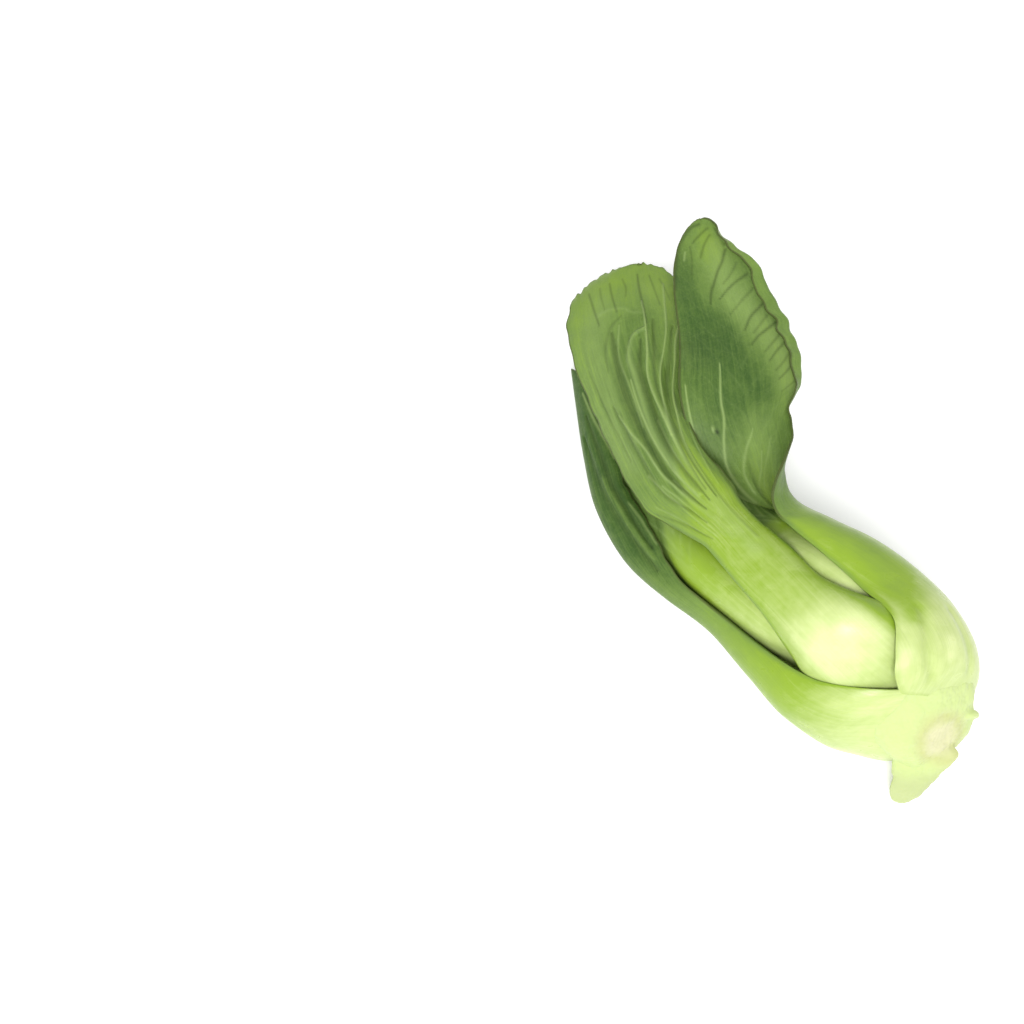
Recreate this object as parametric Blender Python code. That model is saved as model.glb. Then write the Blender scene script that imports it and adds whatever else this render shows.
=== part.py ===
"""A head of baby bok choy on its side, as cut for the kitchen: a short stem with its leaves folded round.

Every leaf is one solid: a thick pale stalk, hollowed on its inner side, that thins out into a spoon-shaped
blade. The leaves wrap the stem in turn and lie over one another from the table up. Lengths are in
millimetres, turned into metres by MM. They are measured from the foot, the point of the table below the
middle of the cut.
"""

import math
from dataclasses import dataclass

import bmesh
import bpy
import numpy as np
from mathutils import Vector

MM = 0.001
FOOT_TO_CENTRE = Vector((-17.6, 83.64, 0.0)) * MM  # from the foot to the middle of the head's outline

CUT = np.array((2.0, 0.5, 23.0))  # middle of the knife cut
KNIFE = (0.20, 0.50)  # how far back the cut leans for each millimetre to the right and up
KNIFE_REACH = 22.0  # the slant of the cut fades out of the leaves this far along the head

MARGIN_THICK = 0.9
FULL_WEIGHT = 10.0  # thickness that a full weight of the thickness group stands for

# Finish of each piece: name, colour and roughness.
FINISHES = {
    "stem_base": ("cut_stem", (0.80, 0.84, 0.58), 0.55),
    "leaf_top": ("top_leaf", (0.37, 0.57, 0.13), 0.42),
    "leaf_right": ("right_leaf", (0.41, 0.60, 0.16), 0.42),
    "leaf_left": ("left_leaf", (0.31, 0.50, 0.11), 0.45),
    "leaf_under": ("under_leaf", (0.38, 0.55, 0.16), 0.45),
    "leaf_inner_left": ("inner_left_leaf", (0.33, 0.53, 0.12), 0.48),
    "leaf_inner_right": ("inner_right_leaf", (0.39, 0.60, 0.13), 0.48),
}


@dataclass
class Leaf:
    """One leaf. A profile is a row of (share, value) pairs, with share 0 at the foot and 1 at the tip."""

    name: str
    grid: tuple  # faces across and along
    # Middle of the outer face from foot to tip: x to the right, y towards the tips, z up, and the way the
    # outer face looks there, in degrees from straight up turning towards +X.
    spine: tuple
    half_left: tuple  # profile of the width to the left of the middle, measured round the curve
    half_right: tuple
    curl_left: tuple  # profile of how far the left half bends inwards, in degrees
    curl_right: tuple
    thick: tuple  # profile of the thickness at the middle
    rib: tuple  # profile of how far the thick middle reaches to each side
    # The share where the blade starts to close, and two powers of its outline: 2 and 0.5 make an ellipse.
    closes: tuple
    hem: tuple = ((0, 1), (1, 1))  # profile of the width of the hem that the left margin folds into
    fold: tuple = ((0, 0), (1, 0))  # profile of how far that hem folds over, in degrees
    crowd: float = 1.0  # above 1 the columns of faces stand closer together towards the margins
    pleat: float = 0.0  # height of the folds that fan out over the blade
    ripple: float = 1.0  # height of the waves in the margin
    waves: float = 4.0  # waves along the whole leaf
    phase: float = 0.0


LEAVES = (
    Leaf(
        "leaf_top",
        grid=(16, 30),
        spine=((-4, 11, 31.5, -30), (-8.5, 15, 37, -31), (-14.5, 21.5, 44, -33), (-20.5, 31, 49.3, -35),
               (-25.2, 47, 48.5, -34), (-28.7, 65, 43.5, -28), (-30.5, 82, 38.5, -22),
               (-31, 100, 35, -18), (-29, 124, 32, -14), (-25, 144, 30, -11), (-20, 161, 27.5, -9),
               (-15.5, 175, 23.5, -8)),
        half_left=((0, 9), (0.05, 13), (0.11, 17.6), (0.175, 20), (0.21, 17), (0.28, 13.5), (0.41, 11.2),
                   (0.47, 15.5), (0.55, 22.3), (0.70, 23.8), (0.85, 26)),
        half_right=((0, 9), (0.08, 17), (0.15, 21), (0.22, 18.5), (0.29, 13.5), (0.36, 9.7), (0.45, 6.5),
                    (0.50, 7.5), (0.60, 5), (0.66, 5.5), (0.80, 16)),
        curl_left=((0, 60), (0.11, 84), (0.175, 76), (0.22, 58), (0.28, 46), (0.41, 38), (0.50, 54),
                   (0.75, 47), (1, 26)),
        curl_right=((0, 60), (0.15, 84), (0.28, 96), (0.36, 62), (0.55, 40), (0.78, 28), (1, 20)),
        thick=((0, 3.0), (0.15, 8.5), (0.36, 6.5), (0.68, 2.4), (1, 1.1)),
        rib=((0, 10), (0.15, 20), (0.36, 11), (0.68, 4), (1, 2)),
        closes=(0.80, 4.4, 0.5),
        pleat=0.9,
        ripple=0.9,
    ),
    Leaf(
        "leaf_right",
        grid=(20, 32),
        spine=((12, 5, 27.5, 66), (16.5, 9, 31, 66), (19, 18, 34.3, 66), (18.3, 30, 36.5, 66),
               (13.6, 43, 38, 62), (6, 56, 39, 57), (-2.4, 66, 38.8, 60), (-9.5, 75, 37.4, 74),
               (-11, 82.5, 35.6, 106), (-10, 94, 34, 141), (-8.7, 108, 35, 163), (-4.5, 122, 36.2, 173),
               (-0.5, 137, 36, 170), (1, 150, 37.5, 168), (2.5, 162, 39, 166), (5, 173, 39.5, 162)),
        half_left=((0, 14), (0.02, 25), (0.045, 33), (0.08, 35.5), (0.11, 34), (0.16, 29), (0.234, 25),
                   (0.317, 19.5), (0.39, 16), (0.45, 14), (0.50, 14.6), (0.55, 14), (0.585, 14.2),
                   (0.64, 20.8), (0.70, 23.2), (0.76, 22.6), (0.82, 21.8), (0.88, 22.6), (0.92, 19.2),
                   (0.95, 16), (1, 14.5)),
        half_right=((0, 12.5), (0.05, 21), (0.14, 29), (0.30, 19), (0.44, 12), (0.50, 14.5), (0.56, 16.5),
                    (0.60, 16.4), (0.64, 16.6), (0.68, 18.6), (0.78, 18), (0.88, 18), (1, 17)),
        curl_left=((0, 62), (0.045, 82), (0.11, 76), (0.16, 68), (0.234, 84), (0.317, 74), (0.45, 54),
                   (0.53, 28), (0.70, 24), (1, 16)),
        curl_right=((0, 56), (0.14, 64), (0.36, 50), (0.50, 10), (0.60, 12), (0.68, 26), (0.80, 20),
                    (1, 12)),
        hem=((0, 3), (0.50, 3), (0.60, 5), (0.72, 6.8), (0.88, 6.6), (1, 3)),
        fold=((0, 0), (0.50, 0), (0.60, 40), (0.68, 115), (0.78, 152), (0.92, 130), (1, 40)),
        crowd=1.45,
        thick=((0, 3.0), (0.14, 8.5), (0.36, 6.5), (0.64, 2.0), (1, 1.1)),
        rib=((0, 12), (0.14, 28), (0.36, 14), (0.64, 4), (1, 2)),
        closes=(0.64, 2.0, 0.5),
        pleat=0.4,
        ripple=0.9,
        waves=5.0,
    ),
    Leaf(
        "leaf_left",
        grid=(16, 28),
        spine=((-9.5, 5.2, 26, -69.5), (-17.5, 10, 24, -76), (-26.5, 15, 21, -84), (-33.5, 24, 18.5, -92),
               (-37.8, 38, 16.5, -97), (-42.5, 56, 14.5, -100), (-48.5, 70, 12.5, -100),
               (-54.3, 88, 9.5, -90), (-55.7, 105, 8.5, -86), (-52.5, 124, 7.5, -86), (-48, 142, 7, -86),
               (-44.5, 155, 6.5, -86)),
        half_left=((0, 14), (0.03, 18.5), (0.06, 22), (0.16, 25), (0.30, 20), (0.46, 17), (0.60, 16.5),
                   (0.78, 17)),
        half_right=((0, 12), (0.06, 21), (0.12, 22.8), (0.21, 17), (0.29, 12.5), (0.41, 9), (0.47, 9),
                    (0.56, 12), (0.66, 13.5), (0.78, 13.5)),
        curl_left=((0, 58), (0.16, 62), (0.36, 84), (0.50, 88), (0.68, 104), (1, 70)),
        curl_right=((0, 56), (0.12, 66), (0.42, 62), (0.54, 92), (0.66, 116), (1, 80)),
        thick=((0, 3.0), (0.18, 6.5), (0.42, 5.0), (0.68, 2.2), (1, 1.1)),
        rib=((0, 12), (0.18, 21), (0.42, 9.5), (0.68, 4), (1, 2)),
        closes=(0.78, 2.4, 0.5),
        ripple=0.7,
    ),
    Leaf(
        "leaf_under",
        grid=(14, 24),
        spine=((2, 4.2, 10, 180), (1.5, 11, 4, 180), (0.5, 20, -0.3, 180), (-1, 32, -0.7, 180),
               (-4, 48, 1.5, 180), (-9, 66, 3.4, 178), (-13, 85, 3, 176), (-15.5, 105, 1.4, 176),
               (-16, 125, 0.2, 178), (-14, 146, 0, 180)),
        half_left=((0, 9.5), (0.06, 17.5), (0.18, 24.5), (0.30, 21), (0.39, 17.5), (0.45, 15.5), (0.52, 12),
                   (0.60, 11), (0.72, 17), (0.78, 20)),
        half_right=((0, 2), (0.04, 5), (0.12, 20), (0.18, 27), (0.24, 31), (0.34, 31), (0.46, 24),
                    (0.72, 21)),
        curl_left=((0, 44), (0.18, 58), (0.44, 50), (0.72, 14), (1, 10)),
        curl_right=((0, 44), (0.18, 58), (0.44, 50), (0.72, 14), (1, 10)),
        thick=((0, 3.0), (0.18, 7), (0.44, 5.5), (0.70, 2.2), (1, 1.1)),
        rib=((0, 10), (0.18, 20), (0.40, 9.5), (0.70, 4), (1, 2)),
        closes=(0.72, 2.2, 0.5),
        ripple=0.5,
    ),
    Leaf(
        "leaf_inner_left",
        grid=(10, 20),
        spine=((-7.5, 17, 27, -75), (-19, 27.5, 28, -74), (-29.5, 40, 30, -72), (-36.3, 55, 28.8, -66),
               (-41, 72, 25, -52), (-39.5, 90, 20.5, -35), (-36.5, 110, 17, -24), (-34, 130, 14.5, -18),
               (-31, 146, 13, -14)),
        half_left=((0, 7), (0.20, 11.5), (0.46, 10), (0.72, 13)),
        half_right=((0, 7), (0.20, 10), (0.46, 8), (0.72, 9)),
        curl_left=((0, 45), (0.20, 60), (0.46, 48), (0.72, 25), (1, 15)),
        curl_right=((0, 45), (0.20, 60), (0.46, 48), (0.72, 25), (1, 15)),
        thick=((0, 2.8), (0.20, 5.5), (0.46, 4.5), (0.72, 1.8), (1, 1.1)),
        rib=((0, 7), (0.20, 12), (0.46, 9), (0.72, 3), (1, 2)),
        closes=(0.72, 2.2, 0.5),
        ripple=0.5,
    ),
    Leaf(
        "leaf_inner_right",
        grid=(10, 20),
        spine=((4, 17, 31, 32), (3, 27, 35, 30), (-1.5, 40, 36.5, 24), (-9, 56, 35, 18),
               (-15, 70, 28.5, 12), (-19.5, 84, 20.5, 4), (-19, 104, 21, 0), (-17, 126, 19.5, 0),
               (-15.5, 144, 18.5, 0)),
        half_left=((0, 7), (0.20, 10), (0.46, 8), (0.72, 9)),
        half_right=((0, 7), (0.20, 11), (0.36, 12.5), (0.45, 10.5), (0.52, 7.2), (0.72, 10)),
        curl_left=((0, 45), (0.20, 60), (0.46, 48), (0.72, 25), (1, 15)),
        curl_right=((0, 45), (0.20, 60), (0.46, 48), (0.72, 25), (1, 15)),
        thick=((0, 2.8), (0.20, 5.5), (0.46, 4.5), (0.72, 1.8), (1, 1.1)),
        rib=((0, 7), (0.20, 11), (0.46, 8), (0.72, 3), (1, 2)),
        closes=(0.72, 2.2, 0.5),
        ripple=0.5,
    ),
)

# The stem: distance behind the cut and radius, from the middle of the cut to the end among the leaves.
STEM_PROFILE = ((0.3, 0), (0.0, 3.2), (0.3, 5.8), (0.9, 6.9), (0.6, 8.2), (0.5, 10.6), (1.0, 12.4),
                (2.0, 13.2), (3.0, 13.2), (3.4, 12.0), (3.6, 9.6), (8, 8.0), (14, 6.0), (19, 4.2),
                (22, 2.4), (23, 0))
STEM_DRIFT = np.array((-0.16, 1.0, 0.10))  # the way the stem runs back from the cut
STEM_SIDES = 28


@dataclass
class Torn:
    """A tongue of stalk that the knife tore."""

    name: str
    root: tuple
    middle: tuple
    tip: tuple
    wide: tuple  # the way its width runs
    half_widths: tuple  # at the root and the tip
    half_thickness: float


TORN_PIECES = (
    Torn(
        "torn_flap",
        root=(1.5, -0.5, 15),
        middle=(-5.5, -5, 10.5),
        tip=(-9.6, -8.2, 2.2),
        wide=(0.9, -0.42, -0.1),
        half_widths=(7.6, 5.2),
        half_thickness=1.7,
    ),
    Torn(
        "torn_spur",
        root=(10, 4, 24),
        middle=(14.6, 4.4, 23.6),
        tip=(15.6, 3.4, 18.5),
        wide=(0.2, 1, 0.1),
        half_widths=(1.4, 1.0),
        half_thickness=1.6,
    ),
)


def clear_scene():
    for obj in list(bpy.data.objects):
        bpy.data.objects.remove(obj)


def finish_of(piece):
    name, colour, roughness = FINISHES[piece]
    made = bpy.data.materials.new(name)
    made.use_nodes = True
    shader = made.node_tree.nodes["Principled BSDF"]
    shader.inputs["Base Color"].default_value = (*colour, 1)
    shader.inputs["Roughness"].default_value = roughness
    shader.inputs["Metallic"].default_value = 0
    return made


def hermite(knots, values, slopes, share):
    """Values at share on the smooth curve with these values and slopes at these knots."""
    span = np.clip(np.searchsorted(knots, share, side="right") - 1, 0, len(knots) - 2)
    width = (knots[span + 1] - knots[span])[:, None]
    f = (share - knots[span])[:, None] / width
    start, end = values[span], values[span + 1]
    leaving, arriving = slopes[span] * width, slopes[span + 1] * width
    levels = start * (1 + 2 * f) * (1 - f) ** 2 + end * f * f * (3 - 2 * f)
    return levels + leaving * f * (1 - f) ** 2 - arriving * f * f * (1 - f)


def profile(pairs, share):
    """Values of a profile at share: smooth between its pairs and never beyond them."""
    knots, values = np.array(pairs, float).T
    rise = np.diff(values) / np.diff(knots)
    slopes = np.zeros_like(values)
    both = rise[:-1] * rise[1:]
    slopes[1:-1] = np.where(both > 0, 2 * both / np.where(both > 0, rise[:-1] + rise[1:], 1), 0)
    return hermite(knots, values[:, None], slopes[:, None], np.clip(share, knots[0], knots[-1]))[:, 0]


def in_blade(share):
    """0 in the stalk of a leaf, 1 in its blade."""
    f = np.clip((share - 0.36) / 0.24, 0, 1)
    return f * f * (3 - 2 * f)


def follow_spine(leaf, share):
    """Points of the spine at share, with the ways out of the leaf and across it. In the stalk both are
    square to the head, in the blade they are square to the way the spine heads."""
    stations = np.array(leaf.spine, float)
    steps = np.linalg.norm(np.diff(stations[:, :3], axis=0), axis=1)
    knots = np.concatenate([[0], np.cumsum(steps)]) / steps.sum()
    slopes = np.gradient(stations, knots, axis=0)
    values = hermite(knots, stations, slopes, share)
    step = 0.01
    ahead = hermite(knots, stations, slopes, share + step) - hermite(knots, stations, slopes, share - step)
    heading = np.arctan2(ahead[:, 0], ahead[:, 1]) * in_blade(share)
    facing = np.radians(values[:, 3])
    to_right = np.stack([np.cos(heading), -np.sin(heading), np.zeros_like(heading)], -1)
    up = np.array((0.0, 0.0, 1.0))
    outward = to_right * np.sin(facing)[:, None] + up * np.cos(facing)[:, None]
    aside = to_right * np.cos(facing)[:, None] - up * np.sin(facing)[:, None]
    return values[:, :3], outward, aside


def bend(v, half, curl, hem, fold):
    """Distance across and inwards of a point of the section, v from the middle at 0 to the margin at 1."""
    across, inwards, parts = 0.0, 0.0, 24
    for k in range(parts):
        u = np.abs(v) * (k + 0.5) / parts
        folded = np.clip((u * half - (half - hem)) / (0.62 * hem), 0, 1)
        turn = np.radians(curl * u + fold * folded * folded * (3 - 2 * folded))
        across = across + np.cos(turn) * v * half / parts
        inwards = inwards + np.sin(turn) * np.abs(v) * half / parts
    return across, inwards


def knife_slant(points):
    """Leans the feet of the leaves and the stem back along the knife cut."""
    away = np.clip((points[:, 1] - CUT[1]) / KNIFE_REACH, 0, 1)
    lean = KNIFE[0] * (points[:, 0] - CUT[0]) + KNIFE[1] * (points[:, 2] - CUT[2])
    points[:, 1] += lean * (1 - away) ** 2
    return points


def leaf_points(leaf, v, share):
    """Outer face of a leaf at v, -1 to 1 from left margin to right, and share, 0 to 1 from foot to tip: the
    points, in millimetres from the foot, and the thickness there."""
    middle, outward, aside = follow_spine(leaf, share)
    left = v < 0
    closing = np.clip((share - leaf.closes[0]) / (1 - leaf.closes[0]), 0, 1)
    half = np.where(left, profile(leaf.half_left, share), profile(leaf.half_right, share))
    half *= (1 - closing ** leaf.closes[1]) ** leaf.closes[2]
    curl = np.where(left, profile(leaf.curl_left, share), profile(leaf.curl_right, share))
    fold = np.where(left, profile(leaf.fold, share), 0)
    across, inwards = bend(v, half, curl, profile(leaf.hem, share), fold)

    thick_middle = profile(leaf.thick, share)
    swell = np.clip(1 - (v * half / profile(leaf.rib, share)) ** 2, 0, 1) ** 0.8
    thick = MARGIN_THICK + (thick_middle - MARGIN_THICK) * swell

    blade = in_blade(share)
    near_tip = 1 - np.clip((share - 0.6) / 0.4, 0, 1) ** 2
    spread = np.clip(half / 12, 0, 1)
    turns = 2 * math.pi * leaf.waves * share + leaf.phase + np.where(left, 0, 1.9)
    wave = leaf.ripple * blade * spread * np.abs(v) ** 3 * np.sin(turns)
    folds = leaf.pleat * blade * spread * near_tip * (1 - v * v) * (np.cos(4 * math.pi * v) - 1) * 0.5
    ridge = blade * (thick - MARGIN_THICK) * 0.6
    rise = wave + folds + ridge - inwards
    points = middle + aside * across[:, None] + outward * rise[:, None]
    return knife_slant(points), thick


def rows(leaf):
    """Shares of the rows of a leaf, closer together towards the tip so that it comes out round."""
    closing = leaf.grid[1] // 4
    body = np.linspace(0, leaf.closes[0], leaf.grid[1] - closing + 1)
    end = np.sin(np.linspace(0, math.pi / 2, closing + 1))[1:] ** (2 / leaf.closes[1])
    end[-1] = 0.995
    return np.concatenate([body, leaf.closes[0] + (1 - leaf.closes[0]) * end])


def build_leaf(leaf):
    """One leaf as a sheet of its outer face, shaped by its rule and thickened inwards."""
    bm = bmesh.new()
    bmesh.ops.create_grid(bm, x_segments=leaf.grid[0], y_segments=leaf.grid[1], size=1)
    column = np.array([vert.co.x for vert in bm.verts])
    v = np.sign(column) * (1 - (1 - np.abs(column)) ** leaf.crowd)
    row = np.round((np.array([vert.co.y for vert in bm.verts]) + 1) / 2 * leaf.grid[1]).astype(int)
    points, thick = leaf_points(leaf, v, rows(leaf)[row])
    for vert, point in zip(bm.verts, points):
        vert.co = Vector(point) * MM - FOOT_TO_CENTRE
        vert.co.z = max(vert.co.z, 0)
    bmesh.ops.triangulate(bm, faces=bm.faces, quad_method="SHORT_EDGE")
    obj = as_object(bm, leaf.name, finish_of(leaf.name))
    group = obj.vertex_groups.new(name="thickness")
    for index, amount in enumerate(thick):
        group.add([index], amount / FULL_WEIGHT, "REPLACE")
    solid = obj.modifiers.new("Body", "SOLIDIFY")
    solid.thickness = FULL_WEIGHT * MM
    solid.offset = -1
    solid.vertex_group = group.name
    solid.use_even_offset = False
    return obj


def as_object(bm, name, finish):
    mesh = bpy.data.meshes.new(name)
    bm.to_mesh(mesh)
    bm.free()
    mesh.shade_smooth()
    mesh.materials.append(finish)
    obj = bpy.data.objects.new(name, mesh)
    bpy.context.scene.collection.objects.link(obj)
    return obj


def knife_point(across, back, up):
    """A point of the stem: across and up from the middle of the cut, and back from its face."""
    point = CUT + STEM_DRIFT * back + np.array((across, 0, up))
    return Vector(knife_slant(point[None, :])[0]) * MM - FOOT_TO_CENTRE


def build_stem():
    """The stem: turned from its profile, leaned along the knife and joined to the tongues it tore."""
    finish = finish_of("stem_base")
    bm = bmesh.new()
    outline = [bm.verts.new((radius, back, 0)) for back, radius in STEM_PROFILE]
    edges = [bm.edges.new(pair) for pair in zip(outline, outline[1:])]
    bmesh.ops.spin(bm, geom=outline + edges, cent=(0, 0, 0), axis=(0, 1, 0), angle=2 * math.pi,
                   steps=STEM_SIDES, use_merge=True)
    bmesh.ops.remove_doubles(bm, verts=bm.verts, dist=0.001)
    bmesh.ops.recalc_face_normals(bm, faces=bm.faces)
    for vert in bm.verts:
        x, back, z = vert.co
        angle = math.atan2(x, z)
        uneven = 1 + 0.035 * math.cos(5 * angle + 0.6) + 0.02 * math.cos(3 * angle)
        vert.co = knife_point(x * uneven, back, z * uneven)
    stem = as_object(bm, "stem_base", finish)
    for torn in TORN_PIECES:
        scrap = build_torn(torn, finish)
        join = stem.modifiers.new(torn.name, "BOOLEAN")
        join.operation = "UNION"
        join.solver = "EXACT"
        join.object = scrap
        scrap.hide_render = True
        scrap.display_type = "WIRE"
    return stem


def build_torn(torn, finish):
    """A torn tongue: a ball drawn out from its root in the stem to its tip."""
    root, middle, tip = (Vector(point) for point in (torn.root, torn.middle, torn.tip))
    wide = Vector(torn.wide).normalized()
    bm = bmesh.new()
    bmesh.ops.create_uvsphere(bm, u_segments=14, v_segments=10, radius=1)
    for vert in bm.verts:
        x, y, z = vert.co
        t = (1 + z) / 2
        full = (1 - abs(z) ** 3) ** 0.5 / max(math.hypot(x, y), 0.001)
        centre = root * (1 - t) ** 2 + middle * 2 * t * (1 - t) + tip * t * t
        along = ((middle - root) * (1 - t) + (tip - middle) * t).normalized()
        width = torn.half_widths[0] + (torn.half_widths[1] - torn.half_widths[0]) * t
        point = centre + wide * (x * full * width) + along.cross(wide) * (y * full * torn.half_thickness)
        vert.co = point * MM - FOOT_TO_CENTRE
    bmesh.ops.recalc_face_normals(bm, faces=bm.faces)
    return as_object(bm, torn.name, finish)


def main():
    clear_scene()
    build_stem()
    for leaf in LEAVES:
        build_leaf(leaf)


if __name__ == "__main__":
    main()
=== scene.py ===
"""The looks of a head of baby bok choy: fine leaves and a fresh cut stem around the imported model, lit softly
on a pale table.

Lengths are in millimetres, measured from the foot, the point of the table below the middle of the cut, and
are turned into metres by MM.
"""

import math
from dataclasses import dataclass

import bmesh
import bpy
import numpy as np
from bpy.props import FloatProperty, FloatVectorProperty, PointerProperty
from mathutils import Matrix, Vector, noise


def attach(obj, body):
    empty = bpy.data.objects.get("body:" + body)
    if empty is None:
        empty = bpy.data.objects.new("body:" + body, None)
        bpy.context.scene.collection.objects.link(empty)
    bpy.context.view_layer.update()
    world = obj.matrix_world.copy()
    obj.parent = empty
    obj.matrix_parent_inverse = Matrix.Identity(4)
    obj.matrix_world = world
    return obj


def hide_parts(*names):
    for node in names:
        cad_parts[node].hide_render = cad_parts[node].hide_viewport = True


bl_info = {
    "name": "Bok Choy",
    "version": (1, 0, 0),
    "blender": (4, 5, 0),
    "location": "View3D > Sidebar > Bok Choy",
    "description": "Adds the leaves, the cut stem and the stage of a head of baby bok choy",
    "category": "Add Mesh",
}

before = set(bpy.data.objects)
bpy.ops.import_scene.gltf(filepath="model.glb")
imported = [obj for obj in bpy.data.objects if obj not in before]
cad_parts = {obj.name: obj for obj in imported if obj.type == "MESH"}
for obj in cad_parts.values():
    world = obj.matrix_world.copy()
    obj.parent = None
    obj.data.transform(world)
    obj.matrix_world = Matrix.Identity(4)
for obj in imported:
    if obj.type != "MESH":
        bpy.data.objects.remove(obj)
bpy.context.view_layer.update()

MM = 0.001
FOOT_TO_CENTRE = Vector((-17.6, 83.64, 0.0)) * MM  # from the foot to the middle of the head's outline

CUT = np.array((2.0, 0.5, 23.0))  # middle of the knife cut
KNIFE = (0.20, 0.50)  # how far back the cut leans for each millimetre to the right and up
KNIFE_REACH = 22.0  # the slant of the cut fades out of the leaves this far along the head

MARGIN_THICK = 0.9
FULL_WEIGHT = 10.0  # thickness that a full weight of the thickness group stands for
FRILL = 0.25  # height of the fine frill along the margins
FRILL_SWINGS, SCALLOP_SWINGS = 19, 17  # along a whole leaf
BEND_PARTS = 40  # steps from the middle of a leaf to its margin, in which its curl is added up
HEM_TURN = 0.62  # the part of the hem's width in which it turns over
BLADE_ROWS = (0.40, 0.90)  # shares between which the rows of a leaf's faces stand close
LAST_ROW = 0.9995
MARGINS_APART = 1.9  # how far the waves of the right margin run ahead of the left's, in radians


@dataclass
class Stroke:
    """A line on a leaf, through points of (share, v, half width in millimetres)."""

    layer: str  # pale for a vein and for some broad painted light, dark for painted shade in a crease or fold and for one real speck, tone for a change of green, which some strokes use for painted highlights and shade
    amount: float
    raised: float  # height of the line on the outer face
    path: list
    inner: float = 1.0  # how much of it the inner face shows
    outer: float = 1.0


def strokes(layer, lines, inner=1.0, outer=1.0):
    """Strokes of one layer. A line is its amount, its height and its points, each given as percent of the way
    to the tip, percent of the way out to the margin and half width."""
    made = []
    for amount, raised, *points in lines:
        path = [(along / 100, out / 100, half) for along, out, half in points]
        made.append(Stroke(layer, amount, raised, path, inner, outer))
    return made


@dataclass
class Leaf:
    """One leaf. A profile is a row of (percent of the way from foot to tip, value) pairs."""

    name: str
    grid: tuple  # faces across and along
    # Middle of the outer face from foot to tip: x to the right, y towards the tips, z up, and the way the
    # outer face looks there, in degrees from straight up turning towards +X.
    spine: tuple
    half_left: tuple  # profile of the width to the left of the middle, measured round the curve
    half_right: tuple
    thick: tuple  # profile of the thickness at the middle
    rib: tuple  # profile of how far the thick middle reaches to each side
    # Percent where the blade starts to close, and two powers of its outline: 2 and 0.5 make an ellipse.
    closes: tuple
    curl_left: tuple  # profile of how far the left half bends inwards, in degrees
    curl_right: tuple = ()  # here and in reach_right, the left side's where nothing is given
    hem: tuple = ((0, 1), (100, 1))  # profile of the width of the hem that the left margin folds into
    fold: tuple = ((0, 0), (100, 0))  # profile of how far that hem folds over, in degrees
    crowd: float = 1.0  # above 1 the columns of faces stand closer together towards the margins
    pleat: float = 0.0  # height of the folds that fan out over the blade
    ripple: float = 1.0  # height of the waves in the margin
    waves: float = 4.0  # waves along the whole leaf
    scallops: float = 1.0  # how much of the small scallops its margin has
    streaks: float = 0.25  # how strongly lighter and darker streaks fan out over the blade
    # Greenness, 0 for white flesh and 1 for the darkest blade: profiles of it along the middle and along the
    # margins, and of how far the middle's reaches to the left and the right.
    green_middle: tuple = ((0, 0.05), (20, 0.12), (42, 0.36), (60, 0.45), (100, 0.6))
    green_margin: tuple = ((0, 0.08), (20, 0.2), (42, 0.5), (60, 0.68), (100, 0.66))
    reach_left: tuple = ((0, 12), (42, 9), (55, 4), (75, 1.2), (100, 0.5))
    reach_right: tuple = ()
    inner_green: float = 0.08  # how much greener the inner face of the blade is
    strokes: tuple = ()
    side_veins: int = 9  # on each side of the middle
    side_strength: float = 0.3
    seed: int = 1


# On the top leaf's bulge: its right flank greener as painted shade, and a paler spot as a painted highlight at
# its top.
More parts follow.
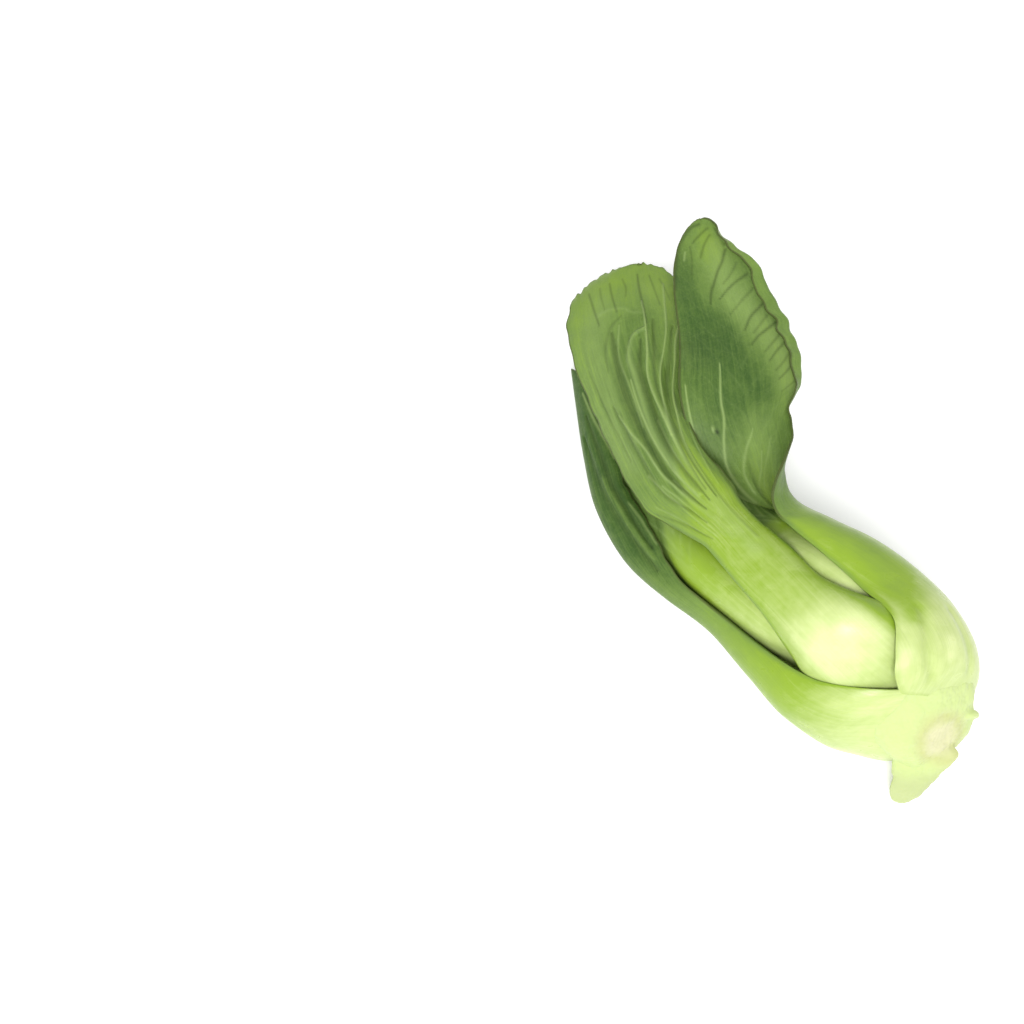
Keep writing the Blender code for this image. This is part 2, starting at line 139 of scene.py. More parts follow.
TOP_BULGE_SHADE_AND_HIGHLIGHT = strokes("tone", inner=0, lines=(
    (0.18, 0, (5, 60, 4.5), (12, 74, 5), (20, 80, 5), (27, 85, 4)),
    (-0.05, 0, (16, -10, 4), (17.5, -8, 4)),
))
# The first patch darkens the middle of the blade. The others lighten the left margin and the tip as painted
# light shining through the thin blade there.
TOP_PATCHES = strokes("tone", lines=(
    (0.1, 0, (50, -25, 4), (60, -25, 6), (70, -30, 8), (80, -25, 8), (86, -10, 6)),
    (-0.03, 0, (56, -86, 2), (64, -84, 2.6), (74, -87, 3), (82, -88, 3), (90, -86, 3.5)),
    (-0.04, 0, (90, -84, 3.5), (94, -60, 4), (96.5, 0, 4.5), (95, 50, 4), (91, 90, 3)),
    (-0.06, 0, (93, 30, 3.5), (90, 60, 5), (86, 75, 3.5)),
))
TOP_VEINS = strokes("pale", lines=(
    (0.8, 0.55, (36, 0, 2.2), (44, 0, 1.7), (52, -2, 1), (58, -5, 0.6), (66, -7, 0.42), (74, -9, 0.36),
        (80, -1, 0.34), (86, 4, 0.33), (90, 3, 0.25)),
    (0.7, 0.4, (38, 30, 0.8), (46, 22, 0.8), (54, 12, 0.55), (60, 17, 0.42), (65, 38, 0.36), (70, 43, 0.34),
        (76, 48, 0.34), (80, 52, 0.33), (84, 66, 0.25)),
    (0.7, 0.35, (62, -6, 0.6), (70, 2, 0.38), (75, 14, 0.34), (80, 31, 0.34), (84, 42, 0.33), (90, 48, 0.33),
        (94, 56, 0.25)),
    (0.42, 0.8, (50, -14, 0.5), (55, -20, 0.9), (62, -26, 1.2), (67, -27, 1.3), (71, -25, 1.3),
        (75, -24, 1.2), (79, -25, 1), (83, -15, 0.6), (84, 0, 0.4)),
    (0.75, 0.3, (46, -13, 0.5), (53, -21, 0.55), (58, -27, 0.45), (63, -31, 0.4), (70, -32, 0.33),
        (75, -31, 0.25)),
    (0.45, 0.3, (66, -37, 0.3), (70, -35, 0.36), (74, -35, 0.36), (80, -37, 0.34), (86, -29, 0.25)),
    (0.7, 0.4, (40, -20, 0.8), (47, -26, 0.9), (53, -34, 0.6), (57, -42, 0.45), (62, -46, 0.4),
        (66, -55, 0.35), (70, -62, 0.25)),
    (0.4, 0.2, (42, -12, 0.5), (50, -24, 0.4), (55, -33, 0.3)),
    (0.45, 0.2, (42, -4, 0.5), (52, -10, 0.4), (60, -15, 0.35), (66, -17, 0.3)),
    (0.45, 0.25, (42, -50, 0.5), (50, -50, 0.45), (54, -53, 0.4), (58, -60, 0.3)),
    (0.5, 0.2, (41, -34, 0.5), (50, -42, 0.4), (55, -50, 0.3)),
    (0.35, 0.2, (44, -66, 0.5), (49, -72, 0.4), (53, -80, 0.3)),
    (0.35, 0.2, (50, 45, 0.4), (56, 62, 0.34), (62, 80, 0.25)),
    (0.22, 0.1, (89, -55, 0.8), (89.7, -41, 0.7), (89.4, -22, 0.6), (88.2, -12, 0.5), (87.4, 1, 0.4)),
    # These two are no veins: broad painted light shining through the thin blade near the tip and along the
    # left side.
    (0.2, 0, (93, 30, 4), (89, 60, 5), (84, 75, 4)),
    (0.22, 0, (92, -50, 5), (84, -66, 7), (74, -70, 6), (62, -76, 4)),
))
# Painted shade in the valleys between the ribs, which are also sunk into the outer face; near the tip, short
# veins painted dark against the light that shines through the thin blade.
TOP_CREASES = strokes("shade_and_speck", lines=(
    (0.42, -0.6, (47, -22, 0.2), (51, -28, 0.4), (56, -34, 0.8), (62, -39, 1.3), (68, -43, 1.7),
        (74, -44, 1.8), (79, -42, 1.4), (85, -40, 0.5)),
    (0.42, -0.5, (48, -7, 0.2), (52, -10, 0.4), (56, -14, 0.6), (62, -18, 0.85), (68, -17, 0.9),
        (76, -17, 0.9), (82, -8, 0.4)),
    (0.34, -0.4, (48, 12, 0.2), (53, 8, 0.35), (58, 7, 0.5), (66, 16, 0.7), (72, 25, 0.8), (78, 38, 0.8),
        (84, 55, 0.4)),
    (0.34, -0.3, (50, -2, 0.2), (56, -3, 0.4), (64, -1, 0.6), (72, -3, 0.65), (80, 12, 0.7), (86, 20, 0.4)),
    (0.3, -0.3, (45, -42, 0.2), (49, -47, 0.5), (54, -56, 0.7), (60, -58, 0.8), (66, -62, 0.7),
        (72, -66, 0.3)),
    (0.24, -0.2, (42, -66, 0.2), (46, -74, 0.5), (49, -82, 0.5), (52, -92, 0.3)),
    (0.22, -0.15, (62, -74, 0.3), (68, -76, 0.5), (75, -80, 0.5), (80, -82, 0.2)),
    (0.24, -0.15, (78, -56, 0.3), (82, -52, 0.6), (86, -40, 0.6), (88, -25, 0.3)),
    (0.45, 0, (95, -72, 0.3), (91, -60, 0.4), (87, -54, 0.3)),
    (0.3, 0, (95.5, -56, 0.25), (93, -50, 0.34), (90, -45, 0.25)),
    (0.45, 0, (96, -42, 0.3), (92, -34, 0.4), (89, -30, 0.3)),
    (0.35, 0, (96.5, -22, 0.3), (94, -16, 0.36), (92, -17, 0.25)),
    (0.45, 0, (97, 5, 0.3), (94, 3, 0.4), (90, 4, 0.4), (85, 6, 0.25)),
    (0.3, 0, (96.5, 35, 0.3), (93, 34, 0.36), (89, 38, 0.25)),
    (0.25, 0, (95.5, 55, 0.3), (93, 56, 0.34), (90, 60, 0.25)),
))
TOP_SHADED_EDGE = strokes("shade_and_speck", inner=0, lines=(
    (0.45, 0, (40, 97, 0.4), (47, 97, 0.6), (55, 97, 0.6), (62, 98, 0.4)),
))
RIGHT_STALK_AND_BACK = strokes("tone", inner=0, lines=(
    (0.15, 0, (15, -82, 3), (20, -72, 5.5), (28, -50, 7), (38, -45, 5)),
    # Two paler spots: painted highlights on the bulge.
    (-0.12, 0, (9.2, -92, 2.2), (10.5, -90, 2)),
    (-0.12, 0, (8, -50, 2.4), (10, -48, 2.2)),
    # Two furrows sunk into the bulge, a little greener in them as painted shade.
    (0.05, -0.7, (4, -72, 1.6), (9, -72, 2), (16, -70, 1.6)),
    (0.04, -0.6, (4, -22, 1.6), (8, -25, 2), (15, -30, 1.6)),
    (-0.08, 0, (95, -93, 4), (85, -93, 5), (75, -93, 5), (68, -93, 4)),
    (0.14, 0, (42, -95, 5), (47, -50, 9), (51, 0, 11), (50, 50, 9)),
))
RIGHT_VEINS = strokes("pale", outer=0.4, lines=(
    (0.7, 0, (50, 80, 0.7), (54, 86, 0.5), (58, 90, 0.42), (63, 90, 0.36), (68, 90, 0.25)),
    (0.8, 0, (50, 72, 0.6), (54, 68, 0.5), (57, 63, 0.42), (60, 51, 0.38), (63, 38, 0.36), (66, 36, 0.33),
        (72, 33, 0.2)),
    (0.6, 0, (51, 55, 0.5), (54, 45, 0.42), (56, 33, 0.38), (58, 20, 0.36), (60, -2, 0.25)),
    (0.45, 0, (50, 45, 0.5), (52.5, 12, 0.4), (55.5, -11, 0.3)),
    (0.3, 0, (50, 20, 0.4), (53, -15, 0.34), (57, -35, 0.25)),
))
RIGHT_PALE_BAND = strokes("pale", outer=0, lines=(
    (0.5, 0, (92.8, 72, 0.36), (94.2, 70, 0.36)),
    (0.7, 0, (62, 60.5, 0.42), (62.4, 60.5, 0.42)),
    # Painted light: the bright band on the raised part of the blade between the fold and the midrib.
    (0.3, 0, (94, -20, 3), (87, -12, 4.5), (82, -24, 5), (77, -42, 4.5), (72, -56, 4), (66, -66, 3.5)),
    (0.16, 0, (60, -10, 5), (55, 10, 7), (50, 25, 7)),
))
# Painted shade along the short creases of the blade and near its tip; the first stroke is a real black speck.
RIGHT_CREASES = strokes("shade_and_speck", outer=0, lines=(
    (1, 0, (61.7, 55, 0.55), (61.75, 55.2, 0.55)),
    (0.55, 0, (92.5, -42, 0.5), (90.5, -20, 0.5), (88.6, 0, 0.5), (86.2, 20, 0.45), (84, 28, 0.3)),
    (0.34, 0, (89.5, -44, 0.4), (88, -25, 0.4), (86.8, -8, 0.3)),
    (0.5, 0, (87, -50, 0.5), (86.1, -22, 0.45), (84.4, 10, 0.3)),
    (0.34, 0, (84.2, -50, 0.42), (83, -28, 0.4), (81.2, -2, 0.3)),
    (0.55, 0, (81.2, -54, 0.5), (79.8, -30, 0.45), (77.7, -16, 0.3)),
    (0.34, 0, (79.4, -56, 0.4), (78.2, -40, 0.4), (76.8, -26, 0.3)),
    (0.55, 0, (77.7, -60, 0.5), (76.3, -34, 0.45), (74.8, -20, 0.3)),
    (0.4, 0, (75.7, -62, 0.42), (74.6, -50, 0.4), (73, -34, 0.3)),
    (0.5, 0, (74, -64, 0.48), (72.7, -50, 0.42), (71.2, -38, 0.3)),
    (0.4, 0, (71.8, -66, 0.42), (70.6, -56, 0.38), (69.4, -44, 0.3)),
    (0.5, 0, (70.2, -70, 0.45), (68.8, -58, 0.4), (67.7, -48, 0.3)),
    (0.34, 0, (67.2, -74, 0.4), (66, -66, 0.38), (64.8, -54, 0.3)),
    (0.4, 0, (95.5, 45, 0.35), (96.8, 15, 0.5), (97.6, -30, 0.4)),
    (0.4, 0, (92.5, 25, 0.35), (94.5, 10, 0.45), (96.2, -25, 0.4)),
    (0.3, 0, (90, 55, 0.3), (93, 50, 0.45), (95, 55, 0.3)),
    (0.45, 0, (88, 97, 0.5), (93, 95, 0.7), (96.5, 92, 0.8), (98.5, 75, 0.7), (98.8, 20, 0.6)),
    (0.35, 0, (93.5, -50, 0.6), (95.5, -62, 0.8), (97, -70, 0.6)),
))
RIGHT_PATCHES = strokes("tone", outer=0, lines=(
    # Painted light along the bright band on the raised part of the blade.
    (-0.12, 0, (96, -10, 3), (93, -15, 4.5), (87, -8, 5.5), (82, -18, 6), (77, -36, 5.5), (72, -52, 5),
        (66, -62, 4), (60, -76, 3)),
    (0.12, 0, (93, 80, 3.5), (88, 72, 4.5), (82, 60, 6.5), (76, 45, 7.5), (70, 25, 8), (64, 10, 7)),
    (0.08, 0, (82, 25, 3), (76, 5, 4), (70, -12, 4), (65, -28, 3)),
    (0.03, 0, (92, 92, 2.5), (85, 88, 4), (75, 86, 5), (68, 75, 5), (62, 55, 6)),
    # Painted light along the bright band.
    (-0.06, 0, (78, -42, 3), (72, -58, 3.5), (66, -68, 3)),
    (-0.06, 0, (57, 10, 6), (53, 20, 8), (49, 30, 8)),
    (-0.06, 0, (97, 10, 3.5), (93, 15, 4)),
))
LEFT_VEINS = strokes("pale", lines=(
    (0.6, 0, (93, 56, 0.3), (90, 60, 0.4), (87, 64, 0.42), (82, 76, 0.42), (77.5, 88, 0.3)),
    (0.5, 0, (67, 82, 0.3), (64, 86, 0.42), (60.5, 89, 0.42), (56, 93, 0.3)),
))
# Painted shade in the folds, which are also sunk into the outer face.
LEFT_FOLDS = strokes("shade_and_speck", lines=(
    (0.4, -0.5, (88, 45, 0.4), (80, 55, 1), (72, 66, 1.2), (64, 72, 1), (56, 80, 0.5)),
    (0.3, -0.5, (84, 20, 0.4), (76, 32, 1.2), (68, 42, 1.4), (60, 50, 1), (52, 60, 0.5)),
))
LEFT_LIT_EDGE = strokes("tone", lines=(
    (-0.14, 0.4, (74, 50, 0.8), (67, 58, 1.2), (60, 64, 1), (54, 70, 0.6)),
))

INNER_LEAF = {
    "grid": (60, 150),
    "thick": ((0, 2.8), (20, 5.5), (46, 4.5), (72, 1.8), (100, 1.1)),
    "closes": (72, 2.2, 0.5),
    "ripple": 0.5,
}
LEAVES = (
    Leaf(
        "leaf_top",
        grid=(150, 325),
        spine=((-4, 11, 31.5, -30), (-8.5, 15, 37, -31), (-14.5, 21.5, 44, -33), (-20.5, 31, 49.3, -35),
            (-25.2, 47, 48.5, -34), (-28.7, 65, 43.5, -28), (-30.5, 82, 38.5, -22), (-31, 100, 35, -18),
            (-29, 124, 32, -14), (-25, 144, 30, -11), (-20, 161, 27.5, -9), (-15.5, 175, 23.5, -8)),
        half_left=((0, 10), (5, 15), (10, 20.5), (15, 22.5), (20, 18.5), (28, 13.5), (41, 11.2), (47, 15.5),
            (55, 22.3), (70, 23.8), (85, 26)),
        half_right=((0, 9), (8, 17), (15, 21), (20, 19), (24, 15.2), (28, 12), (36, 9.2), (45, 6.5),
            (50, 7.5), (60, 5), (66, 5.5), (80, 16)),
        curl_left=((0, 60), (10, 76), (15, 70), (22, 57), (28, 46), (41, 38), (50, 54), (75, 47), (100, 26)),
        curl_right=((0, 60), (15, 81), (20, 77), (28, 96), (36, 62), (55, 40), (78, 28), (100, 20)),
        thick=((0, 3), (15, 8.5), (36, 6.5), (68, 2.4), (100, 1.1)),
        rib=((0, 10), (15, 20), (36, 11), (68, 4), (100, 2)),
        closes=(80, 4.4, 0.5),
        pleat=0.9,
        ripple=0.9,
        scallops=1.8,
        streaks=1,
        # Round the bulge, from 13 to 21 percent, the paler middle is partly the flesh's own colour and partly
        # a painted highlight, and the greener margins are partly painted shade on its sides.
        green_middle=((0, 0.12), (8, 0.16), (13, 0.06), (17, 0.02), (21, 0.1), (26, 0.26), (36, 0.3),
            (44, 0.33), (54, 0.4), (66, 0.64), (86, 0.68), (100, 0.56)),
        green_margin=((0, 0.16), (10, 0.2), (16, 0.2), (21, 0.28), (30, 0.34), (44, 0.44), (54, 0.64),
            (66, 0.68), (86, 0.64), (100, 0.56)),
        reach_left=((0, 13), (20, 12), (40, 9), (47, 9), (55, 5), (66, 2), (100, 0.5)),
        reach_right=((0, 14), (20, 12), (40, 7), (47, 6), (55, 3), (66, 2), (100, 0.5)),
        side_veins=0,
        seed=3,
        strokes=TOP_BULGE_SHADE_AND_HIGHLIGHT + TOP_PATCHES + TOP_VEINS + TOP_CREASES + TOP_SHADED_EDGE,
    ),
    Leaf(
        "leaf_right",
        grid=(150, 325),
        spine=((12, 5, 27.5, 66), (16.5, 9, 31, 66), (19, 18, 34.3, 66), (18.3, 30, 36.5, 66),
            (13.6, 43, 38, 62), (6, 56, 39, 57), (-2.4, 66, 38.8, 60), (-9.5, 75, 37.4, 74),
            (-11, 82.5, 35.6, 106), (-10, 94, 34, 141), (-8.7, 108, 35, 163), (-4.5, 122, 36.2, 173),
            (-0.5, 137, 36, 170), (1, 150, 37.5, 168), (2.5, 162, 39, 166), (5, 173, 39.5, 162)),
        half_left=((0, 14), (2, 25), (4.5, 33), (8, 35.5), (11, 34), (16, 29), (23.4, 25), (31.7, 22.5),
            (39, 18.5), (45, 15), (50, 14.6), (55, 14), (58.5, 14.2), (64, 20.8), (70, 23.2), (76, 22.6),
            (82, 21.8), (88, 22.6), (92, 19.2), (95, 16), (100, 14.5)),
        half_right=((0, 12.5), (5, 21), (14, 29), (30, 19), (44, 12), (50, 14.5), (56, 17.5), (60, 18.2),
            (64, 18.6), (68, 19.6), (78, 18.2), (88, 18), (100, 17)),
        curl_left=((0, 62), (4.5, 82), (11, 76), (16, 68), (23.4, 80), (31.7, 66), (45, 52), (53, 28),
            (70, 24), (100, 16)),
        curl_right=((0, 56), (14, 64), (36, 50), (50, 10), (60, 12), (68, 26), (80, 20), (100, 12)),
        thick=((0, 3), (14, 8.5), (36, 6.5), (64, 2), (100, 1.1)),
        rib=((0, 12), (14, 28), (36, 14), (64, 4), (100, 2)),
        closes=(64, 2.3, 0.5),
        hem=((0, 3), (50, 3), (60, 5), (72, 6.8), (88, 6.6), (100, 3)),
        fold=((0, 0), (50, 0), (60, 40), (68, 115), (78, 152), (92, 130), (100, 40)),
        crowd=1.45,
        pleat=0.4,
        ripple=0.9,
        waves=5,
        scallops=0.3,
        streaks=0.5,
        green_middle=((0, 0.12), (6, 0.09), (14, 0.08), (20, 0.22), (26, 0.31), (34, 0.34), (40, 0.36),
            (45, 0.5), (52, 0.62), (60, 0.68), (80, 0.76), (100, 0.64)),
        green_margin=((0, 0.12), (6, 0.1), (14, 0.12), (20, 0.24), (26, 0.3), (34, 0.33), (40, 0.42),
            (47, 0.62), (53, 0.72), (60, 0.72), (80, 0.76), (100, 0.64)),
        reach_left=((0, 15), (40, 10), (55, 4), (75, 1.2), (100, 0.5)),
        inner_green=0.04,
        side_strength=0.06,
        seed=5,
        strokes=RIGHT_STALK_AND_BACK + RIGHT_VEINS + RIGHT_PALE_BAND + RIGHT_CREASES + RIGHT_PATCHES,
    ),
    Leaf(
        "leaf_left",
        grid=(96, 220),
        spine=((-9.5, 5.2, 26, -69.5), (-17.5, 10, 24, -76), (-26.5, 15, 21, -84), (-33.5, 24, 18.5, -92),
            (-37.8, 38, 16.5, -97), (-42.5, 56, 14.5, -100), (-48.5, 70, 12.5, -100), (-54.3, 88, 9.5, -90),
            (-55.7, 105, 8.5, -86), (-52.5, 124, 7.5, -86), (-48, 142, 7, -86), (-44.5, 155, 6.5, -86)),
        half_left=((0, 14), (3, 18.5), (6, 22), (16, 25), (30, 20), (46, 17), (60, 16.5), (78, 17)),
        half_right=((0, 12), (6, 22.4), (12, 24.6), (21, 18), (29, 13), (41, 9), (47, 9), (56, 12),
            (66, 13.5), (78, 13.5)),
        curl_left=((0, 58), (16, 62), (36, 84), (50, 88), (68, 104), (100, 70)),
        curl_right=((0, 56), (12, 66), (42, 62), (54, 92), (66, 116), (100, 80)),
        thick=((0, 3), (18, 6.5), (42, 5), (68, 2.2), (100, 1.1)),
        rib=((0, 12), (18, 21), (42, 9.5), (68, 4), (100, 2)),
        closes=(74, 1.8, 0.6),
        ripple=0.7,
        scallops=1.5,
        streaks=0.7,
        # The blade's greenness near the deepest is partly its own colour and partly painted shade, as the
        # blade lies in shade.
        green_middle=((0, 0.1), (6, 0.12), (12, 0.2), (19, 0.33), (30, 0.46), (38, 0.58), (50, 0.76),
            (62, 0.88), (100, 0.88)),
        green_margin=((0, 0.08), (6, 0.08), (12, 0.12), (20, 0.3), (30, 0.44), (40, 0.6), (50, 0.82),
            (62, 0.94), (100, 0.92)),
        side_strength=0.03,
        seed=7,
        strokes=LEFT_VEINS + LEFT_FOLDS + LEFT_LIT_EDGE,
    ),
    Leaf(
        "leaf_under",
        grid=(72, 160),
        spine=((2, 4.2, 10, 180), (1.5, 11, 4, 180), (0.5, 20, -0.3, 180), (-1, 32, -0.7, 180),
            (-4, 48, 1.5, 180), (-9, 66, 3.4, 178), (-13, 85, 3, 176), (-15.5, 105, 1.4, 176),
            (-16, 125, 0.2, 178), (-14, 146, 0, 180)),
        half_left=((0, 9.5), (6, 17.5), (18, 24.5), (30, 21), (39, 17.5), (45, 15.5), (52, 12), (60, 11),
            (72, 17), (78, 20)),
        half_right=((0, 2), (4, 5), (12, 20), (18, 27), (24, 31), (34, 31), (46, 24), (72, 21)),
        curl_left=((0, 44), (18, 58), (44, 50), (72, 14), (100, 10)),
        thick=((0, 3), (18, 7), (44, 5.5), (70, 2.2), (100, 1.1)),
        rib=((0, 10), (18, 20), (40, 9.5), (70, 4), (100, 2)),
        closes=(72, 2.2, 0.5),
        ripple=0.5,
        seed=11,
    ),
    Leaf(
        "leaf_inner_left",
        **INNER_LEAF,
        spine=((-7.5, 17, 27, -75), (-19, 27.5, 28, -74), (-29.5, 40, 30, -72), (-36.3, 55, 28.8, -66),
            (-41, 72, 25, -52), (-39.5, 90, 20.5, -35), (-36.5, 110, 17, -24), (-34, 130, 14.5, -18),
            (-31, 146, 13, -14)),
        half_left=((0, 10), (10, 13), (22, 13), (46, 10), (72, 13)),
        half_right=((0, 7), (20, 10), (46, 8), (72, 9)),
        curl_left=((0, 36), (20, 50), (46, 48), (72, 25), (100, 15)),
        curl_right=((0, 45), (20, 60), (46, 48), (72, 25), (100, 15)),
        rib=((0, 7), (20, 12), (46, 9), (72, 3), (100, 2)),
        green_middle=((0, 0.05), (20, 0.16), (36, 0.28), (50, 0.4), (62, 0.62), (100, 0.8)),
        green_margin=((0, 0.08), (20, 0.26), (36, 0.4), (50, 0.55), (62, 0.78), (100, 0.84)),
        seed=13,
    ),
    Leaf(
        "leaf_inner_right",
        **INNER_LEAF,
        spine=((4, 17, 33, 32), (3, 27, 40.6, 31), (-1.5, 40, 44.8, 22), (-9, 56, 44.6, 14),
            (-15, 70, 36, 10), (-19.5, 84, 24, 4), (-19, 104, 21, 0), (-17, 126, 19.5, 0),
            (-15.5, 144, 18.5, 0)),
        half_left=((0, 7), (20, 10), (46, 8), (72, 9)),
        half_right=((0, 7), (20, 11), (36, 12.5), (45, 10.5), (52, 7.2), (72, 10)),
        curl_left=((0, 45), (20, 60), (46, 48), (72, 25), (100, 15)),
        rib=((0, 7), (20, 11), (46, 8), (72, 3), (100, 2)),
        green_middle=((0, 0.1), (30, 0.16), (40, 0.25), (45, 0.42), (50, 0.74), (100, 0.8)),
        green_margin=((0, 0.1), (30, 0.16), (40, 0.26), (45, 0.5), (50, 0.8), (100, 0.84)),
        seed=17,
    ),
)
LEAF_SLOTS = {leaf.name: leaf.name.removeprefix("leaf_") + "_leaf" for leaf in LEAVES}
OUTER_LEAVES = ("leaf_top", "leaf_right", "leaf_left", "leaf_under")

# The stem: distance behind the cut and radius, from the middle of the cut to the end among the leaves.
STEM_PROFILE = ((0.3, 0), (0.1, 3.2), (0.4, 5.8), (0.7, 7.2), (1.0, 8.8), (1.6, 10.4), (2.6, 12.0),
                (4.2, 13.5), (6.2, 14.8), (8.4, 15.8), (10.8, 15.8), (13, 13.4), (16, 9.0), (19, 5.6),
                (22, 2.6), (23, 0))
STEM_DRIFT = np.array((-0.16, 1.0, 0.10))  # the way the stem runs back from the cut
STEM_SIDES = 96
STEM_LOBES = ((5, 0.035, 0.6), (3, 0.02, 0.0))  # how many, how much wider and turned by how much, in radians
STEM_SHOULDER = (2.25, 0.5, 0.27)  # a shoulder's place round the stem and reach, in radians, how much wider
FRAY = 0.35  # height of the lumps of the torn flesh
# The pith is round seen along the knife's slant: its distance counts across and up the cut like this.
PITH_AXES = ((0.9288, -0.1944), (0.5292, 0.918))


@dataclass
class Torn:
    """A tongue of stalk that the knife tore."""

    name: str
    root: tuple
    middle: tuple
    tip: tuple
    half_widths: tuple  # at the root and the tip
    half_thickness: float
    wide: tuple = (0.9, -0.42, -0.1)  # the way its width runs


TORN_PIECES = (
    Torn(
        "torn_flap",
        root=(1.2, -0.5, 15),
        middle=(-6.0, -5, 10.5),
        tip=(-9.9, -8.2, 2.2),
        half_widths=(7.2, 4.7),
        half_thickness=1.7,
    ),
    Torn(
        "torn_web",
        root=(2.2, 1.0, 18),
        middle=(-2.2, -1.5, 13),
        tip=(-7.0, -4.8, 7.5),
        half_widths=(10.2, 6.2),
        half_thickness=2.4,
    ),
    Torn(
        "torn_spur",
        root=(10, 4, 24),
        middle=(14.6, 4.4, 23.6),
        tip=(15.6, 3.4, 18.5),
        half_widths=(1.4, 1.0),
        half_thickness=1.6,
        wide=(0.2, 1, 0.1),
    ),
)

TABLE_POINT = Vector((-61.9, 33.56, 0.0)) * MM  # where the camera looks


def linear(red, green, blue):
    """A colour given in 0 to 255, as the renderer's linear values."""
    levels = (level / 255 for level in (red, green, blue))
    return tuple(((c + 0.055) / 1.055) ** 2.4 if c > 0.04 else c / 12.92 for c in levels)


def colour_property(name, description, rgb):
    return FloatVectorProperty(name=name, description=description, subtype="COLOR", size=3, min=0, max=1,
                               default=linear(*rgb))


LEAF_COLOURS = ("Flesh", "Stalk", "Blade", "Deep", "Vein", "Shade", "Shaded_rim")
GLOSS = 0.22  # specular level of the waxy leaves and the moist cut


class LeafLook(bpy.types.PropertyGroup):
    flesh: colour_property("Flesh", "Colour of the palest flesh at the foot of a stalk", (198, 209, 148))
    stalk: colour_property("Stalk", "Colour of the stalk above the bulge", (129, 157, 46))
    blade: colour_property("Blade", "Colour of the blade", (103, 129, 58))
    deep: colour_property("Deep blade", "Colour of the darkest parts of the blade", (56, 84, 31))
    # Painted shade: the colour that creases, folds and a shaded edge are darkened towards; also the colour of
    # one real speck.
    shade: colour_property("Creases", "Colour deep in the creases of the blade", (34, 48, 16))
    # Painted shade: a dark outline along the margins of the blade.
    shaded_rim: colour_property("Shaded_rim", "Colour of the thin rim of the blade", (70, 80, 36))
    vein: colour_property("Veins", "Colour of the veins in the blade", (146, 168, 102))
    margin_thickness: FloatProperty(name="Margin thickness", description="Thickness of the leaf margins",
                                    default=0.5 * MM, min=0.2 * MM, max=0.9 * MM, unit="LENGTH")
    scallop: FloatProperty(name="Scallops", description="Height of the small scallops along the margins",
                           default=0.3 * MM, min=0, max=1 * MM, unit="LENGTH")


class StemLook(bpy.types.PropertyGroup):
    flesh: colour_property("Cut flesh", "Colour of the cut flesh", (180, 186, 128))
    pith: colour_property("Pith", "Colour of the pith in the middle of the cut", (196, 194, 156))
    ring: colour_property("Ring", "Colour of the ring round the pith", (176, 180, 116))
    cloud: colour_property("Clouds", "Colour of the clouds in the cut flesh", (176, 181, 124))
    rind: colour_property("Rind", "Colour of the outside of the stem", (182, 197, 131))
    torn: colour_property("Torn flesh", "Colour of the flap that hangs down", (169, 179, 127))
    specks: colour_property("Specks", "Colour of the small brown specks", (190, 180, 110))
    grain: FloatProperty(name="Grain", description="Size of the voxels that blend the torn pieces in",
                         default=0.32 * MM, min=0.2 * MM, max=1 * MM, unit="LENGTH")


class StageLook(bpy.types.PropertyGroup):
    floor: colour_property("Table", "Colour of the table", (250, 250, 250))
    clouds: colour_property("Table clouds", "Colour of the faint clouds in the table", (240, 241, 238))
    distance: FloatProperty(name="Camera distance", description="From the camera to the point it aims at",
                            default=0.445, min=0.1, unit="LENGTH")
    elevation: FloatProperty(name="Camera elevation", description="Height of the camera above the table",
                             default=math.radians(65), unit="ROTATION")
    azimuth: FloatProperty(name="Camera azimuth", description="Turn of the camera round the head",
                           default=math.radians(-21), unit="ROTATION")


def hermite(knots, values, slopes, share):
    """Values at share on the smooth curve with these values and slopes at these knots."""
    span = np.clip(np.searchsorted(knots, share, side="right") - 1, 0, len(knots) - 2)
    width = (knots[span + 1] - knots[span])[:, None]
    f = (share - knots[span])[:, None] / width
    start, end = values[span], values[span + 1]
    leaving, arriving = slopes[span] * width, slopes[span + 1] * width
    levels = start * (1 + 2 * f) * (1 - f) ** 2 + end * f * f * (3 - 2 * f)
    return levels + leaving * f * (1 - f) ** 2 - arriving * f * f * (1 - f)


def profile(pairs, share):
    """Values of a profile at share: smooth between its pairs and never beyond them."""
    percents, values = np.array(pairs, float).T
    knots = percents / 100
    rise = np.diff(values) / np.diff(knots)
    slopes = np.zeros_like(values)
    both = rise[:-1] * rise[1:]
    slopes[1:-1] = np.where(both > 0, 2 * both / np.where(both > 0, rise[:-1] + rise[1:], 1), 0)
    return hermite(knots, values[:, None], slopes[:, None], np.clip(share, knots[0], knots[-1]))[:, 0]


def smooth(low, high, x):
    """0 below low, 1 above high and smooth between."""
    f = np.clip((x - low) / (high - low), 0, 1)
    return f * f * (3 - 2 * f)


def in_blade(share):
    """0 in the stalk of a leaf, 1 in its blade."""
    return smooth(0.36, 0.60, share)


def spine_length(leaf):
    stations = np.array(leaf.spine, float)
    return np.linalg.norm(np.diff(stations[:, :3], axis=0), axis=1).sum()


